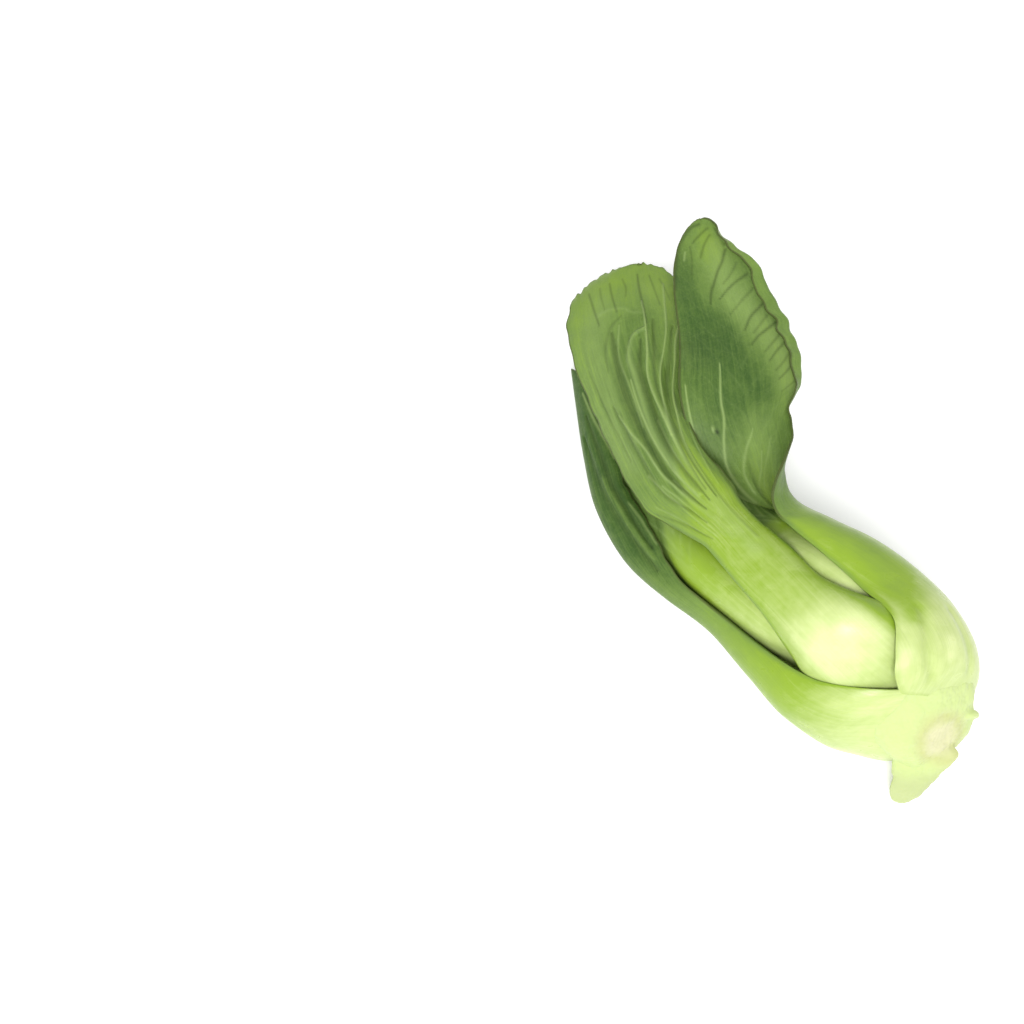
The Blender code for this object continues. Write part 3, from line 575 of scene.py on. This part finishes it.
def follow_spine(leaf, share):
    """Points of the spine at share, with the ways out of the leaf and across it. In the stalk both are
    square to the head, in the blade they are square to the way the spine heads."""
    stations = np.array(leaf.spine, float)
    steps = np.linalg.norm(np.diff(stations[:, :3], axis=0), axis=1)
    knots = np.concatenate([[0], np.cumsum(steps)]) / steps.sum()
    slopes = np.gradient(stations, knots, axis=0)
    values = hermite(knots, stations, slopes, share)
    step = 0.01
    ahead = hermite(knots, stations, slopes, share + step) - hermite(knots, stations, slopes, share - step)
    heading = np.arctan2(ahead[:, 0], ahead[:, 1]) * in_blade(share)
    facing = np.radians(values[:, 3])
    to_right = np.stack([np.cos(heading), -np.sin(heading), np.zeros_like(heading)], -1)
    up = np.array((0.0, 0.0, 1.0))
    outward = to_right * np.sin(facing)[:, None] + up * np.cos(facing)[:, None]
    aside = to_right * np.cos(facing)[:, None] - up * np.sin(facing)[:, None]
    return values[:, :3], outward, aside


def bend(v, half, curl, hem, fold):
    """Distance across and inwards of a point of the section, v from the middle at 0 to the margin at 1."""
    across, inwards = 0.0, 0.0
    for k in range(BEND_PARTS):
        u = np.abs(v) * (k + 0.5) / BEND_PARTS
        turn = np.radians(curl * u + fold * smooth(0, HEM_TURN * hem, u * half - (half - hem)))
        across = across + np.cos(turn) * v * half / BEND_PARTS
        inwards = inwards + np.sin(turn) * np.abs(v) * half / BEND_PARTS
    return across, inwards


def knife_slant(points):
    """Leans the feet of the leaves and the stem back along the knife cut."""
    away = np.clip((points[:, 1] - CUT[1]) / KNIFE_REACH, 0, 1)
    lean = KNIFE[0] * (points[:, 0] - CUT[0]) + KNIFE[1] * (points[:, 2] - CUT[2])
    points[:, 1] += lean * (1 - away) ** 2
    return points


def by_side(v, share, left, right):
    """Values at share of the profile of the side of v, or of the left one where the right one is empty."""
    return np.where(v < 0, profile(left, share), profile(right or left, share))


def half_width(leaf, v, share):
    """Width of the leaf from its middle to the margin on the side of v."""
    percent, power, root = leaf.closes
    closing = np.clip((share - percent / 100) / (1 - percent / 100), 0, 1)
    return by_side(v, share, leaf.half_left, leaf.half_right) * (1 - closing ** power) ** root


def uneven(share, per_leaf, seed):
    """A gentle random wobble along a leaf, between -1 and 1, with about per_leaf swings."""
    random = np.random.default_rng(seed)
    wobble = np.zeros_like(share)
    for k in range(4):
        wobble += np.sin(2 * math.pi * (per_leaf * (0.6 + 0.27 * k) * share + random.random())) / 4
    return wobble * 1.6


def leaf_points(leaf, look, v, share):
    """Outer face of a leaf at v, -1 to 1 from left margin to right, and share, 0 to 1 from foot to tip: the
    points, in millimetres from the foot, and the thickness there."""
    middle, outward, aside = follow_spine(leaf, share)
    blade = in_blade(share)
    half = half_width(leaf, v, share)
    scallop = leaf.scallops * look.scallop / MM * blade * np.abs(v) ** 6
    near_end = smooth(0.84, 0.97, share)
    half = half + (scallop * np.clip(half / 6, 0, 1) * uneven(share, SCALLOP_SWINGS, leaf.seed)
                   * (0.5 + 0.5 * near_end))
    curl = by_side(v, share, leaf.curl_left, leaf.curl_right)
    fold = np.where(v < 0, profile(leaf.fold, share), 0)
    hem = profile(leaf.hem, share) * (1 + 0.06 * uneven(share, 6, leaf.seed + 2)
                                      + 0.07 * uneven(share, 22, leaf.seed + 3))
    across, inwards = bend(v, half, curl, hem, fold)

    thick_middle = profile(leaf.thick, share)
    swell = np.clip(1 - (v * half / profile(leaf.rib, share)) ** 2, 0, 1) ** 0.8
    thick = MARGIN_THICK + (thick_middle - MARGIN_THICK) * swell

    near_tip = 1 - np.clip((share - 0.6) / 0.4, 0, 1) ** 2
    spread = np.clip(half / 12, 0, 1)
    turns = 2 * math.pi * leaf.waves * share + np.where(v < 0, 0, MARGINS_APART)
    wave = leaf.ripple * blade * spread * np.abs(v) ** 3 * np.sin(turns)
    frill = FRILL * blade * spread * np.abs(v) ** 7 * uneven(share, FRILL_SWINGS, leaf.seed + 4)
    folds = leaf.pleat * blade * spread * near_tip * (1 - v * v) * (np.cos(4 * math.pi * v) - 1) * 0.5
    ridge = blade * (thick - MARGIN_THICK) * 0.6
    rise = wave + frill + folds + ridge - inwards
    crinkle = scallop * near_end * uneven(0.5 + v * half / 50, SCALLOP_SWINGS, leaf.seed + 5)
    points = middle + aside * across[:, None] + outward * rise[:, None]
    points = points + np.cross(outward, aside) * crinkle[:, None]

    thin = look.margin_thickness / MM
    thick = thick - (MARGIN_THICK - thin) * smooth(0.4, 1, np.abs(v)) * blade
    return knife_slant(points), thick


def rows(leaf):
    """Shares of the rows of a leaf: wider apart in the stalk, close in the blade and closest at the tip."""
    count = leaf.grid[1]
    in_stalk, in_tip = count // 4, count // 6
    stalk = np.linspace(0, BLADE_ROWS[0], in_stalk, endpoint=False)
    blade = np.linspace(*BLADE_ROWS, count - in_stalk - in_tip, endpoint=False)
    tip = BLADE_ROWS[1] + (LAST_ROW - BLADE_ROWS[1]) * np.sin(np.linspace(0, math.pi / 2, in_tip + 1))
    return np.concatenate([stalk, blade, tip])


def stroke_strength(leaf, stroke, flat):
    """How strongly a stroke shows at each flat point of the leaf, 0 to 1."""
    share, v, width = np.array(stroke.path, float).T
    stations = np.stack([v * half_width(leaf, v, share), share * spine_length(leaf), width], -1)
    knots = np.linspace(0, 1, len(stations))
    slopes = np.gradient(stations, knots, axis=0)
    fine = hermite(knots, stations, slopes, np.linspace(0, 1, 8 * len(stations)))
    reach = 2.6 * width.max()
    near = np.all((flat > fine[:, :2].min(axis=0) - reach) & (flat < fine[:, :2].max(axis=0) + reach), axis=1)
    close = flat[near]
    nearest = np.zeros(len(close))
    for start, end in zip(fine, fine[1:]):
        step = end[:2] - start[:2]
        f = np.clip(((close - start[:2]) @ step) / (step @ step), 0, 1)
        distance = np.linalg.norm(close - start[:2] - f[:, None] * step, axis=1)
        wide = start[2] + f * (end[2] - start[2])
        nearest = np.maximum(nearest, np.exp(-(distance / wide) ** 2))
    strength = np.zeros(len(flat))
    strength[near] = nearest
    return strength


def vein_strokes(leaf):
    """The side veins of a leaf: each leaves the middle and bows towards the tip and the margin."""
    random = np.random.default_rng(leaf.seed)
    veins = []
    for side in (-1, 1):
        for k in range(leaf.side_veins):
            start = 0.44 + 0.46 * (k + 0.3 * random.random() + 0.2 * (side > 0)) / leaf.side_veins
            reach = 0.80 + 0.12 * random.random()
            climb = 0.10 + 0.04 * random.random()
            width = 0.6 - 0.3 * k / leaf.side_veins
            path = []
            for f in (0.0, 0.25, 0.5, 0.75, 1.0):
                along = min(start + climb * (1.25 * f - 0.25 * f * f), 0.985)
                path.append((along, side * reach * f, width * (1 - 0.6 * f)))
            veins.append(Stroke("pale", leaf.side_strength, 0.4 * leaf.side_strength, path))
    return veins


def paint_leaf(leaf, v, share, inner):
    """The painted layers of a leaf at its points, its own colours together with painted light and shade, and
    how far the strokes raise its outer face.
    """
    half = half_width(leaf, v, share)
    flat = np.stack([v * half, share * spine_length(leaf)], -1)
    reach = by_side(v, share, leaf.reach_left, leaf.reach_right)
    soft = 1.5 + 0.35 * reach
    out = smooth(0, 1, (np.abs(flat[:, 0]) - reach) / soft + 0.5)
    green = profile(leaf.green_middle, share) * (1 - out) + profile(leaf.green_margin, share) * out
    green += leaf.inner_green * inner * in_blade(share)
    layers = {"pale": np.zeros(len(v)), "shade_and_speck": np.zeros(len(v))}
    height = np.zeros(len(v))
    for stroke in (*leaf.strokes, *vein_strokes(leaf)):
        strength = stroke_strength(leaf, stroke, flat)
        height += stroke.raised * strength
        shown = stroke.amount * strength * (stroke.inner * inner + stroke.outer * (1 - inner))
        # Tone strokes shift the green: mostly the leaf's own tones, some painted highlights and painted shade.
        if stroke.layer == "tone":
            green += shown
        else:
            layers[stroke.layer] = 1 - (1 - layers[stroke.layer]) * (1 - shown)
    layers["streaks"] = leaf.streaks * smooth(0.34, 0.50, share) * (1 - 0.8 * smooth(0.78, 0.92, share))
    return {"green": np.clip(green, 0, 1), **layers}, flat, height


def leaf_object(leaf, look):
    """One fine leaf: a sheet of its outer face, raised along its veins and thickened inwards."""
    bm = bmesh.new()
    bmesh.ops.create_grid(bm, x_segments=leaf.grid[0], y_segments=leaf.grid[1], size=1)
    column = np.array([vert.co.x for vert in bm.verts])
    v = np.sign(column) * (1 - (1 - np.abs(column)) ** leaf.crowd)
    row = np.round((np.array([vert.co.y for vert in bm.verts]) + 1) / 2 * leaf.grid[1]).astype(int)
    share = rows(leaf)[row]
    points, thick = leaf_points(leaf, look, v, share)
    for vert, point in zip(bm.verts, points):
        vert.co = point
    bm.normal_update()
    normals = np.array([vert.normal for vert in bm.verts])
    height = paint_leaf(leaf, v, share, np.zeros(len(v)))[2]
    height *= smooth(0, 0.25, 1 - np.abs(v))
    points = points + normals * height[:, None]
    thick = thick + np.maximum(height, 0) * 0.7
    for vert, point in zip(bm.verts, points):
        vert.co = Vector(point) * MM - FOOT_TO_CENTRE
        vert.co.z = max(vert.co.z, 0)
    sheet = as_object(bm, leaf.name + "_sheet")
    group = sheet.vertex_groups.new(name="thickness")
    for index, amount in enumerate(thick):
        group.add([index], amount / FULL_WEIGHT, "REPLACE")
    solid = sheet.modifiers.new("Body", "SOLIDIFY")
    solid.thickness = FULL_WEIGHT * MM
    solid.offset = -1
    solid.vertex_group = group.name
    solid.use_even_offset = False
    leaf_mesh = applied(sheet, leaf.name + "_veined")

    inner = np.repeat((0.0, 1.0), len(v))
    layers, flat, _ = paint_leaf(leaf, np.tile(v, 2), np.tile(share, 2), inner)
    for name, values in layers.items():
        set_values(leaf_mesh, name, values)
    set_values(leaf_mesh, "inner", inner)
    from_margin = np.minimum((1 - np.abs(v)) * half_width(leaf, v, share), (1 - share) * spine_length(leaf))
    set_values(leaf_mesh, "from_margin", np.tile(from_margin, 2))
    set_vectors(leaf_mesh, "flat", np.column_stack([flat, 7 * inner]))
    set_vectors(leaf_mesh, "fan", np.column_stack([22 * np.tile(v, 2), 0.055 * flat[:, 1], 7 * inner]))
    lay_down(leaf_mesh, np.array([vert.co for vert in leaf_mesh.data.vertices]))
    return leaf_mesh


def as_object(bm, name):
    mesh = bpy.data.meshes.new(name)
    bm.to_mesh(mesh)
    bm.free()
    mesh.shade_smooth()
    obj = bpy.data.objects.new(name, mesh)
    bpy.context.scene.collection.objects.link(obj)
    return obj


def applied(obj, name):
    """A new object whose mesh is obj's with its modifiers applied. obj goes."""
    evaluated = obj.evaluated_get(bpy.context.evaluated_depsgraph_get())
    mesh = bpy.data.meshes.new_from_object(evaluated)
    mesh.name = name
    bpy.data.objects.remove(obj)
    made = bpy.data.objects.new(name, mesh)
    bpy.context.scene.collection.objects.link(made)
    return made


def lay_down(obj, points):
    """Moves the points of the object's mesh here, with none below the table."""
    points[:, 2] = np.maximum(points[:, 2], 0)
    obj.data.vertices.foreach_set("co", points.ravel())


def set_values(obj, name, values):
    attribute = obj.data.attributes.new(name, "FLOAT", "POINT")
    attribute.data.foreach_set("value", values.astype(np.float32))


def set_vectors(obj, name, values):
    attribute = obj.data.attributes.new(name, "FLOAT_VECTOR", "POINT")
    attribute.data.foreach_set("vector", values.astype(np.float32).ravel())


class Graph:
    """Short calls that add nodes to a node tree, from left to right."""

    def __init__(self, tree):
        self.tree = tree
        self.column = 0

    def fill(self, node, inputs):
        """Links the sockets among these inputs to the node, and sets the rest on its own sockets."""
        for key, value in inputs.items():
            if isinstance(value, bpy.types.NodeSocket):
                self.tree.links.new(value, node.inputs[key])
            else:
                node.inputs[key].default_value = value

    def add(self, kind, inputs=None, **settings):
        node = self.tree.nodes.new(kind)
        self.column += 1
        node.location = (180 * self.column, 0)
        for key, value in settings.items():
            setattr(node, key, value)
        self.fill(node, inputs or {})
        return node

    def math(self, operation, a, b=0.0, c=0.0, clamp=False):
        node = self.add("ShaderNodeMath", {0: a, 1: b, 2: c}, operation=operation, use_clamp=clamp)
        return node.outputs[0]

    def times(self, a, b):
        return self.math("MULTIPLY", a, b)

    def centred(self, value):
        return self.math("SUBTRACT", value, 0.5)

    def total(self, terms, start=0.0):
        """The sum of the terms, each a value and its weight."""
        for value, weight in terms:
            start = self.math("MULTIPLY_ADD", value, weight, start)
        return start

    def ramp(self, value, low, high, at_low, at_high):
        """at_low where the value is low or less, at_high where it is high or more, and even between."""
        return self.add("ShaderNodeMapRange", {0: value, 1: low, 2: high, 3: at_low, 4: at_high}).outputs[0]

    def mix(self, factor, a, b):
        return self.add("ShaderNodeMix", {0: factor, 6: a, 7: b}, data_type="RGBA").outputs[2]

    def bump(self, height, strength, distance):
        inputs = {"Height": height, "Strength": strength, "Distance": distance * MM}
        return self.add("ShaderNodeBump", inputs).outputs["Normal"]

    def noise(self, vector, scale, detail=2.0, roughness=0.5, distortion=0.0):
        node = self.add("ShaderNodeTexNoise", {"Vector": vector, "Scale": scale, "Detail": detail,
                                               "Roughness": roughness, "Distortion": distortion})
        return node.outputs[0]

    def stretch(self, vector, scale):
        return self.add("ShaderNodeVectorMath", {0: vector, 1: scale}, operation="MULTIPLY").outputs[0]

    def attribute(self, name, output="Fac"):
        return self.add("ShaderNodeAttribute", attribute_name=name).outputs[output]


def new_group(name, inputs, outputs):
    """An empty shader node group with these sockets, given as label and kind, its graph and its inputs."""
    group = bpy.data.node_groups.new(name, "ShaderNodeTree")
    for direction, sockets in (("INPUT", inputs), ("OUTPUT", outputs)):
        for label, kind in sockets.items():
            group.interface.new_socket(label, in_out=direction, socket_type="NodeSocket" + kind)
    graph = Graph(group)
    return group, graph, graph.add("NodeGroupInput").outputs


def leaf_paint_group():
    """Colour, roughness and height of a leaf from its painted layers, which hold painted light and shade
    besides its own colours, with fibres along the stalk and a net of fine veins over the blade."""
    found = bpy.data.node_groups.get("leaf_paint")
    if found:
        return found
    group, g, given = new_group(
        "leaf_paint",
        dict.fromkeys(LEAF_COLOURS, "Color"),
        {"Colour": "Color", "Roughness": "Float", "Height": "Float"},
    )
    green, pale, shade_and_speck, inner, streaked, from_margin = (
        g.attribute(name) for name in ("green", "pale", "shade_and_speck", "inner", "streaks", "from_margin")
    )
    flat = g.attribute("flat", "Vector")
    streak = g.times(g.centred(g.noise(g.attribute("fan", "Vector"), 1.0, 4, 0.62, 0.3)), streaked)
    fibres = g.centred(g.noise(g.stretch(flat, (1.0, 0.035, 1.0)), 0.9, 3, 0.6))
    fine_fibres = g.centred(g.noise(g.stretch(flat, (2.6, 0.05, 1.0)), 1.2, 2, 0.5))
    mottle = g.centred(g.noise(flat, 0.22, 3, 0.55, 0.4))
    grain = g.centred(g.noise(flat, 1.6, 3, 0.6))
    shifted = g.stretch(g.add("ShaderNodeTexNoise", {"Vector": flat, "Scale": 0.35}).outputs["Color"],
                        (1.6, 1.6, 0.0))
    warped = g.add("ShaderNodeVectorMath", {0: flat, 1: shifted}, operation="ADD").outputs[0]
    cells = {"Vector": warped, "Scale": 0.34}
    net = g.add("ShaderNodeTexVoronoi", cells, feature="DISTANCE_TO_EDGE").outputs[0]
    leafy = g.ramp(green, 0.42, 0.62, 0.0, 1.0)
    stalky = g.math("SUBTRACT", 1.0, leafy)
    net_line = g.times(g.ramp(net, 0.0, 0.10, 1.0, 0.0), leafy)

    # Greener along the margins of the stalks: partly their own thin, greener flesh, partly painted shade along
    # their edges.
    greener_and_shaded_edge = g.times(g.ramp(from_margin, 0.2, 1.8, 0.22, 0.0), stalky)
    shift = g.total([(fibres, 0.10), (fine_fibres, 0.06), (mottle, 0.16), (g.times(grain, leafy), 0.14),
                     (streak, 0.55), (greener_and_shaded_edge, g.math("MULTIPLY", green, 3.0, clamp=True))])
    level = g.math("ADD", green, shift, clamp=True)
    colour = g.mix(g.ramp(level, 0.0, 0.34, 0.0, 1.0), given["Flesh"], given["Stalk"])
    colour = g.mix(g.ramp(level, 0.36, 0.64, 0.0, 1.0), colour, given["Blade"])
    colour = g.mix(g.ramp(level, 0.64, 0.96, 0.0, 1.0), colour, given["Deep"])
    colour = g.mix(g.times(net_line, 0.04), colour, given["Vein"])
    # Pale strokes: the leaf's own veins, and some broad painted light on the blade.
    colour = g.mix(g.times(pale, g.total([(leafy, 0.5)], 0.4)), colour, given["Vein"])
    # Painted shade in creases and folds, and one real speck.
    colour = g.mix(shade_and_speck, colour, given["Shade"])
    # Painted shade: a dark outline along the margins of the blade.
    colour = g.mix(g.times(g.ramp(from_margin, 0.25, 0.7, 0.85, 0.0), leafy), colour, given["Shaded_rim"])

    roughness = g.total([(leafy, 0.18), (mottle, 0.2)], 0.30)
    height = g.total([(fibres, g.total([(stalky, 0.5)], 0.15)), (fine_fibres, 0.2), (streak, -1.5),
                      (net_line, g.total([(inner, -0.25)], 0.12)), (grain, g.times(leafy, 0.5))])
    g.add("NodeGroupOutput", {"Colour": colour, "Roughness": roughness, "Height": height})
    return group


def new_material(name):
    """A node material, its graph and its Principled BSDF."""
    made = bpy.data.materials.new(name)
    made.use_nodes = True
    return made, Graph(made.node_tree), made.node_tree.nodes["Principled BSDF"]


def leaf_material(leaf, look):
    made, g, shader = new_material(LEAF_SLOTS[leaf.name])
    colours = {label: (*getattr(look, label.lower()), 1) for label in LEAF_COLOURS}
    paint = g.add("ShaderNodeGroup", node_tree=leaf_paint_group())
    g.fill(paint, colours)
    g.fill(shader, {
        "Base Color": paint.outputs["Colour"],
        "Roughness": paint.outputs["Roughness"],
        "Normal": g.bump(paint.outputs["Height"], 0.6, 0.25),
        "Subsurface Weight": 0.12,
        "Subsurface Radius": (0.9, 1.0, 0.35),
        "Subsurface Scale": 1.2 * MM,
        "Specular IOR Level": GLOSS,
    })
    return made


def dress_leaves(names):
    look = bpy.context.scene.bokchoy_leaves
    for leaf in LEAVES:
        if leaf.name in names:
            piece = leaf_object(leaf, look)
            piece.data.materials.append(leaf_material(leaf, look))
            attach(piece, "root")
            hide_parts(leaf.name)


def knife_point(across, back, up):
    """A point of the stem: across and up from the middle of the cut, and back from its face."""
    point = CUT + STEM_DRIFT * back + np.array((across, 0, up))
    return Vector(knife_slant(point[None, :])[0]) * MM - FOOT_TO_CENTRE


def torn_object(torn):
    """A torn tongue: a ball drawn out from its root in the stem to its tip."""
    root, middle, tip = (Vector(point) for point in (torn.root, torn.middle, torn.tip))
    wide = Vector(torn.wide).normalized()
    bm = bmesh.new()
    bmesh.ops.create_uvsphere(bm, u_segments=48, v_segments=32, radius=1)
    for vert in bm.verts:
        x, y, z = vert.co
        t = (1 + z) / 2
        full = (1 - abs(z) ** 3) ** 0.5 / max(math.hypot(x, y), 0.001)
        centre = root * (1 - t) ** 2 + middle * 2 * t * (1 - t) + tip * t * t
        along = ((middle - root) * (1 - t) + (tip - middle) * t).normalized()
        width = torn.half_widths[0] + (torn.half_widths[1] - torn.half_widths[0]) * t
        point = centre + wide * (x * full * width) + along.cross(wide) * (y * full * torn.half_thickness)
        vert.co = point * MM - FOOT_TO_CENTRE
    bmesh.ops.recalc_face_normals(bm, faces=bm.faces)
    return as_object(bm, torn.name)


def stem_object(look):
    """The stem, turned from its profile and blended into the tongues that the knife tore."""
    bm = bmesh.new()
    outline = [bm.verts.new((radius, back, 0)) for back, radius in STEM_PROFILE]
    edges = [bm.edges.new(pair) for pair in zip(outline, outline[1:])]
    bmesh.ops.spin(bm, geom=outline + edges, cent=(0, 0, 0), axis=(0, 1, 0), angle=2 * math.pi,
                   steps=STEM_SIDES, use_merge=True)
    bmesh.ops.remove_doubles(bm, verts=bm.verts, dist=0.001)
    bmesh.ops.recalc_face_normals(bm, faces=bm.faces)
    for vert in bm.verts:
        x, back, z = vert.co
        angle = math.atan2(x, z)
        lobes = 1 + sum(wider * math.cos(count * angle + turn) for count, wider, turn in STEM_LOBES)
        lobes += STEM_SHOULDER[2] * math.exp(-((angle - STEM_SHOULDER[0]) / STEM_SHOULDER[1]) ** 2)
        vert.co = knife_point(x * lobes, back, z * lobes)
    stem = as_object(bm, "stem_base_body")
    scraps = [torn_object(torn) for torn in TORN_PIECES]
    for scrap in scraps:
        join = stem.modifiers.new(scrap.name, "BOOLEAN")
        join.operation = "UNION"
        join.solver = "EXACT"
        join.object = scrap
    blend = stem.modifiers.new("Blend", "REMESH")
    blend.mode = "VOXEL"
    blend.voxel_size = look.grain
    blend.use_smooth_shade = True
    soften = stem.modifiers.new("Soften", "SMOOTH")
    soften.factor = 0.6
    soften.iterations = 16
    stem = applied(stem, "stem_base_cut")
    for scrap in scraps:
        bpy.data.objects.remove(scrap)
    normals = np.array([vert.normal for vert in stem.data.vertices])
    points = np.array([vert.co for vert in stem.data.vertices])
    places = [Vector(point) / MM for point in points]
    frayed = [noise.noise(place * 0.3) + 0.4 * noise.noise(place) for place in places]
    points = points + normals * (FRAY * MM * np.array(frayed))[:, None]
    lay_down(stem, points)
    points = (points + np.array(FOOT_TO_CENTRE)) / MM
    across, up = points[:, 0] - CUT[0], points[:, 2] - CUT[2]
    set_values(stem, "from_pith", np.hypot(*(np.array(PITH_AXES) @ (across, up))))
    set_values(stem, "torn", smooth(8, 14, -up))
    return stem


def stem_material(look):
    made, g, shader = new_material("cut_stem")
    place = g.add("ShaderNodeTexCoord").outputs["Object"]
    cloud = g.noise(place, 160, 4, 0.6, 0.3)
    specks = g.noise(place, 900, 3, 0.6)
    wander = g.total([(g.centred(cloud), 2.5)], g.attribute("from_pith"))
    on_ring = g.math("ABSOLUTE", g.math("SUBTRACT", wander, 7.2))
    on_cut = g.ramp(wander, 7.0, 10.5, 1.0, 0.0)
    colour = g.mix(g.ramp(wander, 3.8, 7.0, 0.9, 0.0), (*look.flesh, 1), (*look.pith, 1))
    colour = g.mix(g.ramp(on_ring, 0.3, 1.6, 0.35, 0.0), colour, (*look.ring, 1))
    colour = g.mix(on_cut, (*look.rind, 1), colour)
    cloudy = g.math("MULTIPLY", g.math("SUBTRACT", cloud, 0.38), on_cut, clamp=True)
    colour = g.mix(cloudy, colour, (*look.cloud, 1))
    colour = g.mix(g.times(g.attribute("torn"), 0.85), colour, (*look.torn, 1))
    colour = g.mix(g.ramp(specks, 0.66, 0.74, 0.0, 0.25), colour, (*look.specks, 1))
    g.fill(shader, {
        "Base Color": colour,
        "Roughness": g.total([(cloud, 0.2)], 0.36),
        "Normal": g.bump(g.total([(specks, 0.4)], cloud), 0.3, 0.2),
        "Subsurface Weight": 0.15,
        "Subsurface Radius": (1.0, 1.0, 0.5),
        "Subsurface Scale": 1.5 * MM,
        "Specular IOR Level": GLOSS,
    })
    return made


def dress_stem():
    look = bpy.context.scene.bokchoy_stem
    piece = stem_object(look)
    piece.data.materials.append(stem_material(look))
    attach(piece, "root")
    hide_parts("stem_base")


def floor_material(look):
    made, g, shader = new_material("pale_table")
    cloud = g.noise(g.add("ShaderNodeTexCoord").outputs["Object"], 30, 3, 0.5)
    g.fill(shader, {
        "Base Color": g.mix(g.times(cloud, 0.04), (*look.floor, 1), (*look.clouds, 1)),
        "Roughness": 0.7,
        "Specular IOR Level": 0.2,
        "Emission Color": (1, 1, 1, 1),
        "Emission Strength": 0.15,
    })
    return made


def area_light(name, place, size, power):
    """A round soft light that looks at the middle of the head."""
    light = bpy.data.lights.new(name, "AREA")
    light.shape = "DISK"
    light.size = size
    light.energy = power
    lamp = bpy.data.objects.new(name, light)
    lamp.location = place
    lamp.rotation_euler = (-Vector(place)).to_track_quat("-Z", "Y").to_euler()
    bpy.context.scene.collection.objects.link(lamp)


def set_stage():
    look = bpy.context.scene.bokchoy_stage
    bm = bmesh.new()
    bmesh.ops.create_grid(bm, x_segments=4, y_segments=4, size=2.5)
    floor = as_object(bm, "table_top")
    floor.data.materials.append(floor_material(look))

    back = Vector((math.sin(look.azimuth) * math.cos(look.elevation),
                   -math.cos(look.azimuth) * math.cos(look.elevation), math.sin(look.elevation)))
    right = Vector((math.cos(look.azimuth), math.sin(look.azimuth), 0))
    turn = Matrix((right, back.cross(right), back)).transposed().to_4x4()
    lens = bpy.data.cameras.new("camera")
    lens.lens = 50
    lens.sensor_width = 36
    lens.clip_start = 0.01
    camera = bpy.data.objects.new("camera", lens)
    camera.matrix_world = Matrix.Translation(TABLE_POINT + back * look.distance) @ turn
    bpy.context.scene.collection.objects.link(camera)
    bpy.context.scene.camera = camera

    area_light("overhead_softbox", (-0.28, -0.42, 0.66), 0.33, 6.0)
    area_light("fill", (0.5, 0.4, 0.5), 0.6, 0.5)

    world = bpy.data.worlds.new("studio")
    world.use_nodes = True
    sky = world.node_tree.nodes["Background"]
    Graph(world.node_tree).fill(sky, {"Color": (1, 1, 1, 1), "Strength": 0.82})
    bpy.context.scene.world = world
    bpy.context.scene.view_settings.view_transform = "Standard"


class BOKCHOY_OT_outer_leaves(bpy.types.Operator):
    """Add the four outer leaves of the head"""

    bl_idname = "bokchoy.outer_leaves"
    bl_label = "Outer Leaves"

    def execute(self, context):
        dress_leaves(OUTER_LEAVES)
        return {"FINISHED"}


class BOKCHOY_OT_inner_leaves(bpy.types.Operator):
    """Add the two inner leaves of the head"""

    bl_idname = "bokchoy.inner_leaves"
    bl_label = "Inner Leaves"

    def execute(self, context):
        dress_leaves([leaf.name for leaf in LEAVES if leaf.name not in OUTER_LEAVES])
        return {"FINISHED"}


class BOKCHOY_OT_stem(bpy.types.Operator):
    """Add the stem with its fresh cut and torn pieces"""

    bl_idname = "bokchoy.stem"
    bl_label = "Cut Stem"

    def execute(self, context):
        dress_stem()
        return {"FINISHED"}


class BOKCHOY_OT_stage(bpy.types.Operator):
    """Add the table, the camera and the lights"""

    bl_idname = "bokchoy.stage"
    bl_label = "Stage"

    def execute(self, context):
        set_stage()
        return {"FINISHED"}


class BOKCHOY_PT_panel(bpy.types.Panel):
    """Buttons that add the head of bok choy, piece by piece"""

    bl_idname = "BOKCHOY_PT_panel"
    bl_label = "Bok Choy"
    bl_space_type = "VIEW_3D"
    bl_region_type = "UI"
    bl_category = "Bok Choy"

    def draw(self, context):
        for operator in OPERATORS:
            self.layout.operator(operator.bl_idname)


OPERATORS = (BOKCHOY_OT_outer_leaves, BOKCHOY_OT_inner_leaves, BOKCHOY_OT_stem, BOKCHOY_OT_stage)
LOOKS = {"bokchoy_leaves": LeafLook, "bokchoy_stem": StemLook, "bokchoy_stage": StageLook}


def register():
    for look in LOOKS.values():
        bpy.utils.register_class(look)
    for name, look in LOOKS.items():
        setattr(bpy.types.Scene, name, PointerProperty(type=look))
    for operator in OPERATORS:
        bpy.utils.register_class(operator)
    bpy.utils.register_class(BOKCHOY_PT_panel)


def unregister():
    bpy.utils.unregister_class(BOKCHOY_PT_panel)
    for operator in reversed(OPERATORS):
        bpy.utils.unregister_class(operator)
    for name, look in LOOKS.items():
        delattr(bpy.types.Scene, name)
        bpy.utils.unregister_class(look)


def main():
    register()
    bpy.ops.bokchoy.outer_leaves()
    bpy.ops.bokchoy.inner_leaves()
    bpy.ops.bokchoy.stem()
    bpy.ops.bokchoy.stage()


if __name__ == "__main__":
    main()
